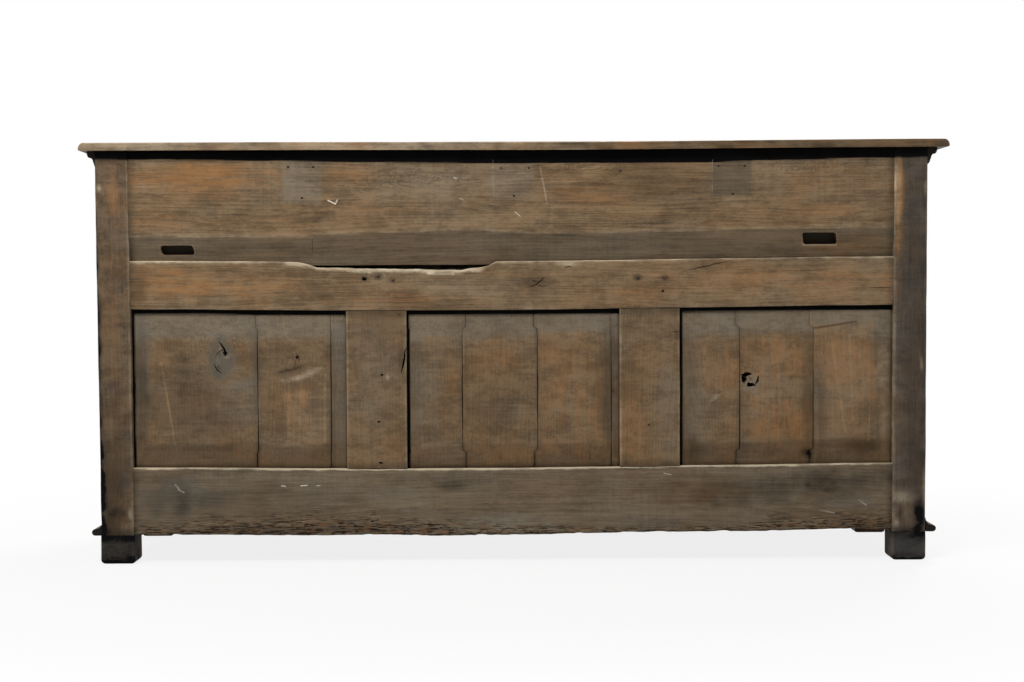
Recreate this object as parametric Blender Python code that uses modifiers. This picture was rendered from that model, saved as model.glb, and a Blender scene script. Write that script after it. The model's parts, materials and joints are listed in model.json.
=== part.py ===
"""Joined oak dresser base: three drawers over two cupboard doors, panelled back, stile feet.

Metres, +Z up. The origin is the middle of the footprint on the floor. The front faces -Y and the
panelled back +Y, so left is -X as seen from the front.
"""

import math

import bmesh
import bpy
from mathutils import Matrix, Vector

# Overall sizes
OVERALL_HEIGHT = 0.864
CARCASE_WIDTH = 1.694
CARCASE_DEPTH = 0.455
SEAT = 0.0003  # gap kept between faces that touch

# Top: two boards with a thumb-moulded front and ends
TOP_LENGTH = 1.780
TOP_THICKNESS = 0.016
TOP_FRONT_OVERHANG = 0.036
TOP_BACK_OVERHANG = 0.014
TOP_REAR_BOARD_DEPTH = 0.240
TOP_THUMB = 0.0110  # width and drop of the thumb moulding
TOP_UNDER_EASE = 0.0020
TOP_TONGUE_THICKNESS = 0.005
TOP_TONGUE_LENGTH = 0.009
TOP_TONGUE_STOP = 0.080  # bare joint left at each end of the tongue

# Posts and feet
POST_WIDTH = 0.068
POST_DEPTH = 0.068
POST_ARRIS = 0.0025
POST_FOOT_EASE = 0.006
REAR_FOOT_HEIGHT = 0.059  # the rear feet are pieced on below the posts
REAR_FOOT_PROUD = 0.0012
REAR_FOOT_EASE = 0.009
FOOT_TENON = 0.026
FOOT_TENON_WALL = 0.003  # wood left between the foot's tenon and the rail's mortise above it
FOOT_CLEARANCE = 0.062  # floor to the underside of the rails

# Joints shared by the carcase
TENON_LENGTH = 0.038
TENON_HAUNCH = 0.005  # how far a tenon stops short of the grooved edge
TENON_ROOT = 0.006  # how far a tenon runs back into its own member
GROOVE_DEPTH = 0.010
PANEL_PLAY = 0.0012  # room for a panel to swell in its groove
SLOT_WIDTH = 0.009  # grooves and mortises are cut with one iron
SLOT_SHOULDER = 0.012  # from a back or end member's outer face to the slot
FRAME_SETBACK = 0.003  # back and end members stand behind the post faces
HOUSING_DEPTH = 0.006  # floor and deck are housed this far into the rails

# Back
BACK_RAIL_THICKNESS = 0.030
BACK_BOTTOM_RAIL_HEIGHT = 0.134
BACK_PANEL_HEIGHT = 0.325
BACK_MIDDLE_RAIL_HEIGHT = 0.100
BACK_MUNTIN_WIDTH = 0.124
MUNTIN_TENON_LENGTH = 0.032
BACK_RAIL_CHAMFER = 0.0030
BACK_FIELD_RISE = 0.007
BACK_BEVEL_SIDES = 0.038
BACK_BEVEL_ENDS = 0.054
UPPER_BEVEL_HEIGHT = 0.052
UPPER_PANEL_INSIDE = 0.0010  # inner face of the upper panel beyond its tongue
FINGER_SLOT_LENGTH = 0.064
FINGER_SLOT_HEIGHT = 0.020
FINGER_SLOT_CORNER = 0.006
FINGER_SLOTS = {"left": (0.150, 0.038), "right": (0.088, 0.024)}  # from the post, over the rail
BOARD_JOINT = 0.0010  # open glue joints between the boards of the back panels
BOARD_JOINTS = {  # from the right sight edge of each panel, or from the left one where negative
    "left": (0.117, -0.170),
    "centre": (0.115, 0.267, -0.017),
    "right": (0.256, -0.031),
}
WORN_EDGE = (  # place along the bottom rail, how far its worn edge hangs below the straight line
    (0.779, 0.000),
    (0.600, 0.0015),
    (0.436, 0.0050),
    (0.170, 0.0088),
    (0.000, 0.0040),
    (-0.260, 0.0032),
    (-0.506, -0.0012),
    (-0.680, -0.0042),
    (-0.779, 0.000),
)
WORN_EDGE_STEPS = 3
SPLIT_DEPTH = 0.022  # the split along the middle rail's upper edge, at the back face
SPLIT_HEEL = 0.0080  # and at the groove
SPLIT_STATIONS = (  # place along the rail, share of the full depth
    (0.430, 0.04),
    (0.405, 0.55),
    (0.290, 0.80),
    (0.105, 1.00),
    (0.060, 0.45),
    (0.020, 0.04),
)

# Ends: one fielded board each, tongued and tenoned into the posts
END_FIELD_RISE = 0.0085
END_BEVEL_SIDES = 0.042
END_BEVEL_LOW = 0.080
END_BEVEL_HIGH = 0.090
END_TENON_HEIGHT = 0.090
END_TENON_INSET = 0.045

# Front frame
FRONT_RAIL_THICKNESS = 0.030
FRONT_SLOT_SHOULDER = 0.010
FRONT_TOP_RAIL_HEIGHT = 0.038
FRONT_DRAWER_RAIL_HEIGHT = 0.050
FRONT_BOTTOM_RAIL_HEIGHT = 0.088
FRONT_MUNTIN_WIDTH = 0.070
TOP_RAIL_TENON_LENGTH = 0.022
TOP_RAIL_HAUNCH = 0.009
FRONT_FIELD_RISE = 0.0070
FRONT_FIELD_STEP = 0.0020
FRONT_BEVEL = 0.036

# Floor, deck and drawer guides
FLOOR_THICKNESS = 0.018
DECK_THICKNESS = 0.018
DECK_DROP = 0.011  # deck surface below the upper edge of the back middle rail
GUIDE_HEIGHT = 0.022
BOARD_SIDE_PLAY = 0.0008

# Mouldings, as width and height of each member
CORNICE_LIP = 0.0025
CORNICE_UPPER_ROUND = (0.0062, 0.0110)
CORNICE_HOLLOW = (0.0058, 0.0105)
CORNICE_LOWER_ROUND = (0.0075, 0.0105)
CORNICE_FILLET = 0.0012
BASE_LOW = 0.059
BASE_NOSE = 0.0067  # radius
BASE_HOLLOW = (0.0150, 0.0155)
MOULDING_ARC_STEPS = 4

# Drawers
DRAWER_GAP = 0.0015
DRAWER_FRONT_THICKNESS = 0.020
DRAWER_LINING = 0.012
DRAWER_SIDE_DROP = 0.004  # sides stop below the top of the front
DRAWER_BACK_DROP = 0.006
DRAWER_BOTTOM_THICKNESS = 0.008
DRAWER_BOTTOM_LIFT = 0.010
DRAWER_BOTTOM_GROOVE = 0.005
DRAWER_STOP_GAP = 0.0010  # sides stop against the back middle rail
DOVETAILS = 3
DOVETAIL_SHARE = 0.66  # tail width at its tip over the pitch
DOVETAIL_SLOPE = 1 / 6
DOVETAIL_LAP = 0.006  # left of the drawer front in front of the tails

# Doors, hung on a wooden pivot above and an iron pin below
DOOR_GAP = 0.0020
DOOR_THICKNESS = 0.022
DOOR_STILE_WIDTH = 0.058
DOOR_TOP_RAIL_HEIGHT = 0.058
DOOR_BOTTOM_RAIL_HEIGHT = 0.066
DOOR_SLOT_WIDTH = 0.007
DOOR_GROOVE_DEPTH = 0.008
DOOR_TENON_LENGTH = 0.030
DOOR_FIELD_RISE = 0.0045
DOOR_FIELD_STEP = 0.0016
DOOR_BEVEL = 0.034
DOOR_STOP_GAP = 0.0005
DOOR_EDGE_STEPS = 10
PIVOT_RADIUS = 0.0070
PIVOT_LENGTH = 0.020
PIN_RADIUS = 0.0050
PIN_DEPTH = 0.020  # into the rail, and into the stile
PIN_COLLAR_RADIUS = 0.0090
ROUND_SIDES = 20

# Knobs and latches
KNOB_RADIUS = 0.0175
KNOB_LENGTH = 0.030
KNOB_NECK_RADIUS = 0.0080
KNOB_FLANGE_RADIUS = 0.0125
KNOB_TENON_RADIUS = 0.0060
KNOB_TENON_LENGTH = 0.016
KNOB_STEPS = 16
LATCH_ARM = 0.045
LATCH_TAIL = 0.013
LATCH_WIDTH = 0.014
LATCH_THICKNESS = 0.008
LATCH_GAP = 0.0008  # between the turned latch and the muntin behind which it catches

SPARE = 0.004  # how far a cutter runs past the faces it opens

# Levels
TOP_UNDERSIDE = OVERALL_HEIGHT - TOP_THICKNESS
POST_TOP = TOP_UNDERSIDE - SEAT
BACK_BOTTOM_RAIL = (FOOT_CLEARANCE, FOOT_CLEARANCE + BACK_BOTTOM_RAIL_HEIGHT)
BACK_MIDDLE_RAIL_LOW = BACK_BOTTOM_RAIL[1] + BACK_PANEL_HEIGHT
BACK_MIDDLE_RAIL = (BACK_MIDDLE_RAIL_LOW, BACK_MIDDLE_RAIL_LOW + BACK_MIDDLE_RAIL_HEIGHT)
DECK = (BACK_MIDDLE_RAIL[1] - DECK_DROP - DECK_THICKNESS, BACK_MIDDLE_RAIL[1] - DECK_DROP)
FRONT_TOP_RAIL = (POST_TOP - FRONT_TOP_RAIL_HEIGHT, POST_TOP)
FRONT_DRAWER_RAIL = (DECK[1] - FRONT_DRAWER_RAIL_HEIGHT, DECK[1])
FRONT_BOTTOM_RAIL = (FOOT_CLEARANCE, FOOT_CLEARANCE + FRONT_BOTTOM_RAIL_HEIGHT)
FLOOR = (FRONT_BOTTOM_RAIL[1] + SEAT, FRONT_BOTTOM_RAIL[1] + SEAT + FLOOR_THICKNESS)

# Planes across the depth
TOP_DEPTH = CARCASE_DEPTH + TOP_FRONT_OVERHANG + TOP_BACK_OVERHANG
BACK_FACE = TOP_DEPTH / 2 - TOP_BACK_OVERHANG
FRONT_FACE = BACK_FACE - CARCASE_DEPTH
FRONT_POST = (FRONT_FACE, FRONT_FACE + POST_DEPTH)
REAR_POST = (BACK_FACE - POST_DEPTH, BACK_FACE)
BACK_RAIL = (BACK_FACE - FRAME_SETBACK - BACK_RAIL_THICKNESS, BACK_FACE - FRAME_SETBACK)
BACK_SLOT = (BACK_RAIL[1] - SLOT_SHOULDER - SLOT_WIDTH, BACK_RAIL[1] - SLOT_SHOULDER)
BACK_TENON = (BACK_SLOT[0] + 2 * SEAT, BACK_SLOT[1] - 2 * SEAT)
FRONT_RAIL = (FRONT_FACE, FRONT_FACE + FRONT_RAIL_THICKNESS)
FRONT_SLOT = (FRONT_FACE + FRONT_SLOT_SHOULDER, FRONT_FACE + FRONT_SLOT_SHOULDER + SLOT_WIDTH)
FRONT_TENON = (FRONT_SLOT[0] + 2 * SEAT, FRONT_SLOT[1] - 2 * SEAT)
DOOR_DEPTH = (FRONT_FACE, FRONT_FACE + DOOR_THICKNESS)
DOOR_SLOT = tuple(FRONT_FACE + (DOOR_THICKNESS + s * DOOR_SLOT_WIDTH) / 2 for s in (-1, 1))
DOOR_TENON = (DOOR_SLOT[0] + 2 * SEAT, DOOR_SLOT[1] - 2 * SEAT)

# Places along the length
HALF_WIDTH = CARCASE_WIDTH / 2
POST_INNER = HALF_WIDTH - POST_WIDTH
END_FACE = HALF_WIDTH - FRAME_SETBACK
END_SLOT = (END_FACE - SLOT_SHOULDER - SLOT_WIDTH, END_FACE - SLOT_SHOULDER)
END_INSIDE = END_SLOT[0] + SEAT
BAY_WIDTH = (2 * POST_INNER - 2 * FRONT_MUNTIN_WIDTH) / 3
FRONT_MUNTIN = (BAY_WIDTH / 2, BAY_WIDTH / 2 + FRONT_MUNTIN_WIDTH)
BACK_BAY_WIDTH = (2 * POST_INNER - 2 * BACK_MUNTIN_WIDTH) / 3
BACK_MUNTIN = (BACK_BAY_WIDTH / 2, BACK_BAY_WIDTH / 2 + BACK_MUNTIN_WIDTH)

SIDES = {"left": -1, "right": 1}
BAYS = {"left": -1, "centre": 0, "right": 1}

UPRIGHT = Matrix.Rotation(math.radians(90), 4, "X")  # an outline in X and Z
SIDEWAYS = Matrix(((0, 0, 1, 0), (1, 0, 0, 0), (0, 1, 0, 0), (0, 0, 0, 1)))  # an outline in Y and Z


# Scene and materials


def clear_scene():
    for obj in list(bpy.data.objects):
        bpy.data.objects.remove(obj, do_unlink=True)


def make_collection(name):
    collection = bpy.data.collections.new(name)
    bpy.context.scene.collection.children.link(collection)
    return collection


def make_material(name, colour, roughness, metallic=0.0):
    material = bpy.data.materials.new(name)
    material.use_nodes = True
    shader = material.node_tree.nodes["Principled BSDF"]
    shader.inputs["Base Color"].default_value = (*colour, 1.0)
    shader.inputs["Roughness"].default_value = roughness
    shader.inputs["Metallic"].default_value = metallic
    return material


clear_scene()
PARTS = make_collection("oak_dresser_base")
CUTTERS = make_collection("cutters")
BACK_OAK = make_material("back_oak", (0.125, 0.083, 0.052), 0.80)
SHOW_OAK = make_material("show_oak", (0.085, 0.047, 0.026), 0.42)
LINING_OAK = make_material("lining_oak", (0.270, 0.185, 0.110), 0.75)
IRON = make_material("iron", (0.060, 0.055, 0.052), 0.55, 1.0)


# Shapes


def grow(extent, gap=SEAT):
    """An extent with a gap added at both ends."""
    return (extent[0] - gap, extent[1] + gap)


def shrink(extent, gap=SEAT):
    """An extent with a gap taken off both ends."""
    return grow(extent, -gap)


def mirrored(extent, side):
    """An extent measured outwards from the middle, on one side of it."""
    return tuple(sorted((side * extent[0], side * extent[1])))


def add_object(name, data, material=None):
    """Links an object. One with no material is a helper for Booleans."""
    obj = bpy.data.objects.new(name, data)
    if material is None:
        CUTTERS.objects.link(obj)
        obj.hide_render = True
        obj.display_type = "WIRE"
    else:
        PARTS.objects.link(obj)
        data.materials.append(material)
    return obj


def edit_mesh(obj, change):
    """Runs a change on the object's mesh, then turns its faces outwards."""
    mesh = bmesh.new()
    mesh.from_mesh(obj.data)
    change(mesh)
    bmesh.ops.recalc_face_normals(mesh, faces=mesh.faces)
    mesh.to_mesh(obj.data)
    mesh.free()


def box(name, x, y, z, material=None):
    """A board with its origin at its middle."""
    extents = [sorted(extent) for extent in (x, y, z)]
    mesh = bmesh.new()
    bmesh.ops.create_cube(mesh, size=1.0)
    bmesh.ops.scale(mesh, vec=[high - low for low, high in extents], verts=mesh.verts)
    data = bpy.data.meshes.new(name)
    mesh.to_mesh(data)
    mesh.free()
    obj = add_object(name, data, material)
    obj.location = [(low + high) / 2 for low, high in extents]
    return obj


def plate(name, outline, extent, turn, material=None):
    """A flat outline given thickness: extent is where it lies across its own plane."""
    curve = bpy.data.curves.new(name, "CURVE")
    curve.dimensions = "2D"
    curve.fill_mode = "BOTH"
    curve.extrude = (extent[1] - extent[0]) / 2
    spline = curve.splines.new("POLY")
    spline.points.add(len(outline) - 1)
    for point, (u, v) in zip(spline.points, outline):
        point.co = (u, v, 0.0, 1.0)
    spline.use_cyclic_u = True
    guide = bpy.data.objects.new(name, curve)
    CUTTERS.objects.link(guide)
    graph = bpy.context.evaluated_depsgraph_get()
    data = bpy.data.meshes.new_from_object(guide.evaluated_get(graph))
    bpy.data.objects.remove(guide)
    data.name = name
    obj = add_object(name, data, material)
    across = (turn.to_3x3() @ Vector((0, 0, 1))) * (extent[0] + extent[1]) / 2
    if turn is UPRIGHT:
        across = -across
    obj.matrix_world = Matrix.Translation(across) @ turn
    edit_mesh(obj, weld_caps)
    return obj


def weld_caps(mesh):
    """Joins a filled outline's walls to its two caps, and makes each cap one face."""
    bmesh.ops.remove_doubles(mesh, verts=mesh.verts, dist=1e-6)
    caps = [face for face in mesh.faces if len({round(v.co.z, 6) for v in face.verts}) == 1]
    bmesh.ops.delete(mesh, geom=caps, context="FACES_KEEP_BOUNDARY")
    bmesh.ops.edgeloop_fill(mesh, edges=[edge for edge in mesh.edges if edge.is_boundary])


def rod(name, centre, radius, extent, axis, material=None):
    """A round bar along Y (axis 1) or Z (axis 2). The centre gives the other two places."""
    mesh = bmesh.new()
    length = extent[1] - extent[0]
    bmesh.ops.create_cone(
        mesh, cap_ends=True, segments=ROUND_SIDES, radius1=radius, radius2=radius, depth=length
    )
    data = bpy.data.meshes.new(name)
    mesh.to_mesh(data)
    mesh.free()
    obj = add_object(name, data, material)
    place = list(centre)
    place.insert(axis, (extent[0] + extent[1]) / 2)
    obj.location = place
    if axis == 1:
        obj.rotation_euler.x = math.radians(90)
    return obj


def turned(name, profile, location, facing_front, material):
    """A turned piece, upright or facing the front. Its (radius, height) profile runs top to bottom."""
    data = bpy.data.meshes.new(name)
    points = [(radius, 0.0, height) for radius, height in profile]
    data.from_pydata(points, [(i, i + 1) for i in range(len(points) - 1)], [])
    obj = add_object(name, data, material)
    screw = obj.modifiers.new("turning", "SCREW")
    screw.steps = KNOB_STEPS
    screw.render_steps = KNOB_STEPS
    screw.use_merge_vertices = True
    screw.merge_threshold = 0.00001
    screw.use_smooth_shade = True
    obj.location = location
    if facing_front:
        obj.rotation_euler.x = math.radians(90)
    return obj


def swept(name, sections, material=None):
    """A run through sections that each have as many points, such as a moulding mitred at its corners."""
    mesh = bmesh.new()
    place = mesh.verts.layers.int.new("place")
    first = [mesh.verts.new(point) for point in sections[0]]
    for index, vertex in enumerate(first):
        vertex[place] = index
    start = face = mesh.faces.new(first)
    for section in sections[1:]:
        made = bmesh.ops.extrude_face_region(mesh, geom=[face])["geom"]
        if face is not start:
            bmesh.ops.delete(mesh, geom=[face], context="FACES_ONLY")
        face = next(item for item in made if isinstance(item, bmesh.types.BMFace))
        for vertex in face.verts:
            vertex.co = section[vertex[place]]
    bmesh.ops.recalc_face_normals(mesh, faces=mesh.faces)
    data = bpy.data.meshes.new(name)
    mesh.to_mesh(data)
    mesh.free()
    return add_object(name, data, material)


def boolean(target, tool, operation):
    modifier = target.modifiers.new(f"{operation.lower()}_{len(target.modifiers)}", "BOOLEAN")
    modifier.operation = operation
    modifier.object = tool


def carve(target, tool):
    boolean(target, tool, "DIFFERENCE")


def fuse(target, tool):
    boolean(target, tool, "UNION")


def carve_box(target, x, y, z):
    """Cuts a groove, rebate, notch or mortise."""
    carve(target, box(f"cut_{target.name}_{len(target.modifiers)}", x, y, z))


def fuse_box(target, x, y, z):
    fuse(target, box(f"tenon_{target.name}_{len(target.modifiers)}", x, y, z))


def carve_rod(target, centre, radius, extent, axis):
    carve(target, rod(f"bore_{target.name}_{len(target.modifiers)}", centre, radius, extent, axis))


def tenon(member, receiver, x, y, z):
    """A tenon on a member, and its mortise in the receiver, a seating gap larger."""
    fuse_box(member, x, y, z)
    carve_box(receiver, grow(x), grow(y), grow(z))


def ease_edges(obj, width, segments, chosen):
    """Rounds the edges of a board for which chosen(middle of the edge, half sizes) is true."""

    def change(mesh):
        half = [max(vertex.co[axis] for vertex in mesh.verts) for axis in range(3)]
        edges = [e for e in mesh.edges if chosen((e.verts[0].co + e.verts[1].co) / 2, half)]
        bmesh.ops.bevel(
            mesh, geom=edges, offset=width, segments=segments, profile=0.5, affect="EDGES"
        )

    edit_mesh(obj, change)


def raise_field(obj, axis, side, steps):
    """Fields one face of a board.

    Each step is (margin at both sides, margin below, margin above, rise over the board's face).
    """

    def change(mesh):
        half = [max(vertex.co[i] for vertex in mesh.verts) for i in range(3)]
        along = 1 - axis  # the level direction in the face: the other one is up
        face = max(mesh.faces, key=lambda f: f.calc_center_median()[axis] * side)
        for sides, below, above, rise in steps:
            bmesh.ops.inset_region(mesh, faces=[face], thickness=0.0005)
            for vertex in face.verts:
                vertex.co[along] = math.copysign(half[along] - sides, vertex.co[along])
                vertex.co.z = half[2] - above if vertex.co.z > 0 else below - half[2]
                vertex.co[axis] = side * (half[axis] + rise)

    edit_mesh(obj, change)


def arc(centre, radius, start, end, steps):
    """Points on an arc, with angles in degrees."""
    return [
        (
            centre[0] + radius * math.cos(math.radians(start + (end - start) * i / steps)),
            centre[1] + radius * math.sin(math.radians(start + (end - start) * i / steps)),
        )
        for i in range(steps + 1)
    ]


def smooth_through(points, steps):
    """A Catmull-Rom curve through the points."""
    ends = [points[0], *points, points[-1]]
    found = []
    for before, start, end, after in zip(ends, ends[1:], ends[2:], ends[3:]):
        for i in range(steps):
            t = i / steps
            found.append(
                tuple(
                    0.5 * (2 * b + (c - a) * t + (2 * a - 5 * b + 4 * c - d) * t**2
                           + (3 * b - a - 3 * c + d) * t**3)
                    for a, b, c, d in zip(before, start, end, after)
                )
            )
    return [*found, points[-1]]


def hang_on(name, location, pieces):
    """Parents moving pieces to an empty on their joint's axis."""
    empty = bpy.data.objects.new(name, None)
    PARTS.objects.link(empty)
    empty.location = location
    bpy.context.view_layer.update()
    for piece in pieces:
        piece.parent = empty
        piece.matrix_parent_inverse = empty.matrix_world.inverted()
    return empty


# Posts and feet


def make_posts():
    """Front posts run to the floor. Rear posts stand on pieced feet."""
    posts = {}
    rail_tenon = FOOT_CLEARANCE + GROOVE_DEPTH + TENON_HAUNCH
    for side_name, side in SIDES.items():
        x = mirrored((POST_INNER, HALF_WIDTH), side)
        front = box(f"front_post_{side_name}", x, FRONT_POST, (0.0, POST_TOP), SHOW_OAK)
        ease_edges(front, POST_FOOT_EASE, 2, lambda middle, half: middle.z < -0.9 * half[2])
        rear_z = (REAR_FOOT_HEIGHT + SEAT, POST_TOP)
        rear = box(f"rear_post_{side_name}", x, REAR_POST, rear_z, BACK_OAK)
        for post in (front, rear):
            ease_edges(post, POST_ARRIS, 2, lambda middle, half: abs(middle.z) < 0.1 * half[2])
        foot = box(
            f"rear_foot_{side_name}",
            grow(x, REAR_FOOT_PROUD),
            REAR_POST,
            (0.0, REAR_FOOT_HEIGHT),
            BACK_OAK,
        )
        ease_edges(foot, REAR_FOOT_EASE, 3, lambda middle, half: middle.z < -0.9 * half[2])
        middle_x, middle_y = sum(x) / 2, sum(REAR_POST) / 2
        tenon(
            foot,
            rear,
            (middle_x - FOOT_TENON / 2, middle_x + FOOT_TENON / 2),
            (middle_y - FOOT_TENON / 2, middle_y + FOOT_TENON / 2),
            (REAR_FOOT_HEIGHT - TENON_ROOT, rail_tenon - FOOT_TENON_WALL),
        )
        posts[side_name] = {"front": front, "rear": rear, "foot": foot}
    return posts


def post_tenons(member, posts, which, y, z):
    """Tenons at both ends of a rail, into the two posts of the front or of the back."""
    for side_name, side in SIDES.items():
        x = mirrored((POST_INNER - TENON_ROOT, POST_INNER + TENON_LENGTH), side)
        tenon(member, posts[side_name][which], x, y, z)


# Back


def make_back(posts):
    inner = (-POST_INNER, POST_INNER)
    tenon_inset = GROOVE_DEPTH + TENON_HAUNCH
    middle = box("back_middle_rail", shrink(inner), BACK_RAIL, BACK_MIDDLE_RAIL, BACK_OAK)
    bottom = make_back_bottom_rail()
    for rail, extent in ((middle, BACK_MIDDLE_RAIL), (bottom, BACK_BOTTOM_RAIL)):
        post_tenons(rail, posts, "rear", BACK_TENON, shrink(extent, tenon_inset))
        top_groove = (extent[1] - GROOVE_DEPTH, extent[1] + SPARE)
        carve_box(rail, grow(inner, SPARE), BACK_SLOT, top_groove)
    low_groove = (BACK_MIDDLE_RAIL[0] - SPARE, BACK_MIDDLE_RAIL[0] + GROOVE_DEPTH)
    carve_box(middle, grow(inner, SPARE), BACK_SLOT, low_groove)
    split_rail_edge(middle)
    for side_name, side in SIDES.items():
        make_back_muntin(side_name, side, middle, bottom)
        groove_x = mirrored((POST_INNER - SPARE, POST_INNER + GROOVE_DEPTH), side)
        groove_z = (BACK_BOTTOM_RAIL[0] + tenon_inset, POST_TOP + SPARE)
        carve_box(posts[side_name]["rear"], groove_x, BACK_SLOT, groove_z)
    for bay_name, bay in BAYS.items():
        make_back_panel(bay_name, bay)
    make_upper_panel()
    return middle, bottom


def make_back_bottom_rail():
    """The bottom rail, with its lower edge worn to a slow wave and its upper arris chamfered."""
    end = POST_INNER - SEAT
    scale = end / WORN_EDGE[0][0]
    worn = [(x * scale, FOOT_CLEARANCE - drop) for x, drop in smooth_through(WORN_EDGE, WORN_EDGE_STEPS)]
    top = BACK_BOTTOM_RAIL[1]
    rail = plate(
        "back_bottom_rail", [(-end, top), (end, top), *worn], BACK_RAIL, UPRIGHT, BACK_OAK
    )
    rear = BACK_RAIL[1]
    chamfer = [
        (rear - BACK_RAIL_CHAMFER, top + SPARE),
        (rear - BACK_RAIL_CHAMFER, top),
        (rear, top - BACK_RAIL_CHAMFER),
        (rear + SPARE, top - BACK_RAIL_CHAMFER),
        (rear + SPARE, top + SPARE),
    ]
    carve(rail, plate("cut_rail_chamfer", chamfer, (-POST_INNER, POST_INNER), SIDEWAYS))
    return rail


def split_rail_edge(rail):
    """The long splinter lost from the middle rail's rear lip, down to the groove."""
    rear, groove, top = BACK_RAIL[1], BACK_SLOT[1], BACK_MIDDLE_RAIL[1]
    sections = []
    for x, share in SPLIT_STATIONS:
        heel, depth = top - share * SPLIT_HEEL, top - share * SPLIT_DEPTH
        sections.append(
            [
                (x, groove - SPARE / 2, top + SPARE),
                (x, groove - SPARE / 2, heel),
                (x, rear + SPARE, depth),
                (x, rear + SPARE, top + SPARE),
            ]
        )
    splinter = swept("cut_rail_split", sections)
    edit_mesh(splinter, lambda mesh: bmesh.ops.triangulate(mesh, faces=mesh.faces))
    carve(rail, splinter)


def make_back_muntin(side_name, side, middle, bottom):
    x = mirrored(BACK_MUNTIN, side)
    z = (BACK_BOTTOM_RAIL[1] + SEAT, BACK_MIDDLE_RAIL[0] - SEAT)
    muntin = box(f"back_muntin_{side_name}", x, BACK_RAIL, z, BACK_OAK)
    tenon_x = shrink(x, GROOVE_DEPTH + TENON_HAUNCH)
    tenon(muntin, middle, tenon_x, BACK_TENON, (z[1] - TENON_ROOT, z[1] + MUNTIN_TENON_LENGTH))
    tenon(muntin, bottom, tenon_x, BACK_TENON, (z[0] - MUNTIN_TENON_LENGTH, z[0] + TENON_ROOT))
    for edge, inward in ((x[0], GROOVE_DEPTH), (x[1], -GROOVE_DEPTH)):
        groove_x = (edge - math.copysign(SPARE, inward), edge + inward)
        carve_box(muntin, groove_x, BACK_SLOT, grow(z, SPARE))
    return muntin


def make_back_panel(bay_name, bay):
    """A back panel of glued boards, bevelled on its rear face down to the tongue."""
    centre = bay * (BACK_BAY_WIDTH + BACK_MUNTIN_WIDTH)
    sight_x = (centre - BACK_BAY_WIDTH / 2, centre + BACK_BAY_WIDTH / 2)
    sight_z = (BACK_BOTTOM_RAIL[1], BACK_MIDDLE_RAIL[0])
    reach = GROOVE_DEPTH - PANEL_PLAY
    panel = box(
        f"back_panel_{bay_name}",
        grow(sight_x, reach),
        shrink(BACK_SLOT),
        grow(sight_z, reach),
        BACK_OAK,
    )
    edge = reach + SEAT
    sides, ends = edge + BACK_BEVEL_SIDES, edge + BACK_BEVEL_ENDS
    raise_field(panel, 1, 1, [(edge, edge, edge, 0.0), (sides, ends, ends, BACK_FIELD_RISE)])
    groove_floor = BACK_SLOT[1] - SEAT - BOARD_JOINT
    for offset in BOARD_JOINTS[bay_name]:
        place = sight_x[1] - offset if offset > 0 else sight_x[0] - offset
        carve_box(
            panel,
            (place - BOARD_JOINT / 2, place + BOARD_JOINT / 2),
            (groove_floor, BACK_RAIL[1] + SPARE),
            grow(sight_z, GROOVE_DEPTH + SPARE),
        )
    return panel


def make_upper_panel():
    """The wide board behind the drawers, bevelled at its lower edge, with two finger slots."""
    rear, tongue = BACK_RAIL[1], shrink(BACK_SLOT)
    sight, low = BACK_MIDDLE_RAIL[1], BACK_MIDDLE_RAIL[1] - GROOVE_DEPTH + PANEL_PLAY
    inside = tongue[0] - UPPER_PANEL_INSIDE
    section = [
        (inside, sight + TENON_HAUNCH),
        (tongue[0], sight + TENON_HAUNCH),
        (tongue[0], low),
        (tongue[1], low),
        (tongue[1], sight + SEAT),
        (rear, sight + UPPER_BEVEL_HEIGHT),
        (rear, POST_TOP),
        (inside, POST_TOP),
    ]
    panel = plate("back_upper_panel", section, shrink((-POST_INNER, POST_INNER)), SIDEWAYS, BACK_OAK)
    reach = POST_INNER + GROOVE_DEPTH - PANEL_PLAY
    end_tongue = shrink(tongue, SEAT)
    fuse_box(panel, (-reach, reach), end_tongue, (sight + 2 * TENON_HAUNCH, POST_TOP - TENON_HAUNCH))
    half_length, half_height = FINGER_SLOT_LENGTH / 2, FINGER_SLOT_HEIGHT / 2
    for side_name, (inset, lift) in FINGER_SLOTS.items():
        middle = SIDES[side_name] * (POST_INNER - inset)
        outline = []
        for u, v, start in ((1, 1, 0), (-1, 1, 90), (-1, -1, 180), (1, -1, 270)):
            corner = (
                middle + u * (half_length - FINGER_SLOT_CORNER),
                sight + lift + v * (half_height - FINGER_SLOT_CORNER),
            )
            outline += arc(corner, FINGER_SLOT_CORNER, start, start + 90, 3)
        through = (inside - SPARE, rear + SPARE)
        carve(panel, plate(f"cut_finger_slot_{side_name}", outline, through, UPRIGHT))
    return panel


# Ends


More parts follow.
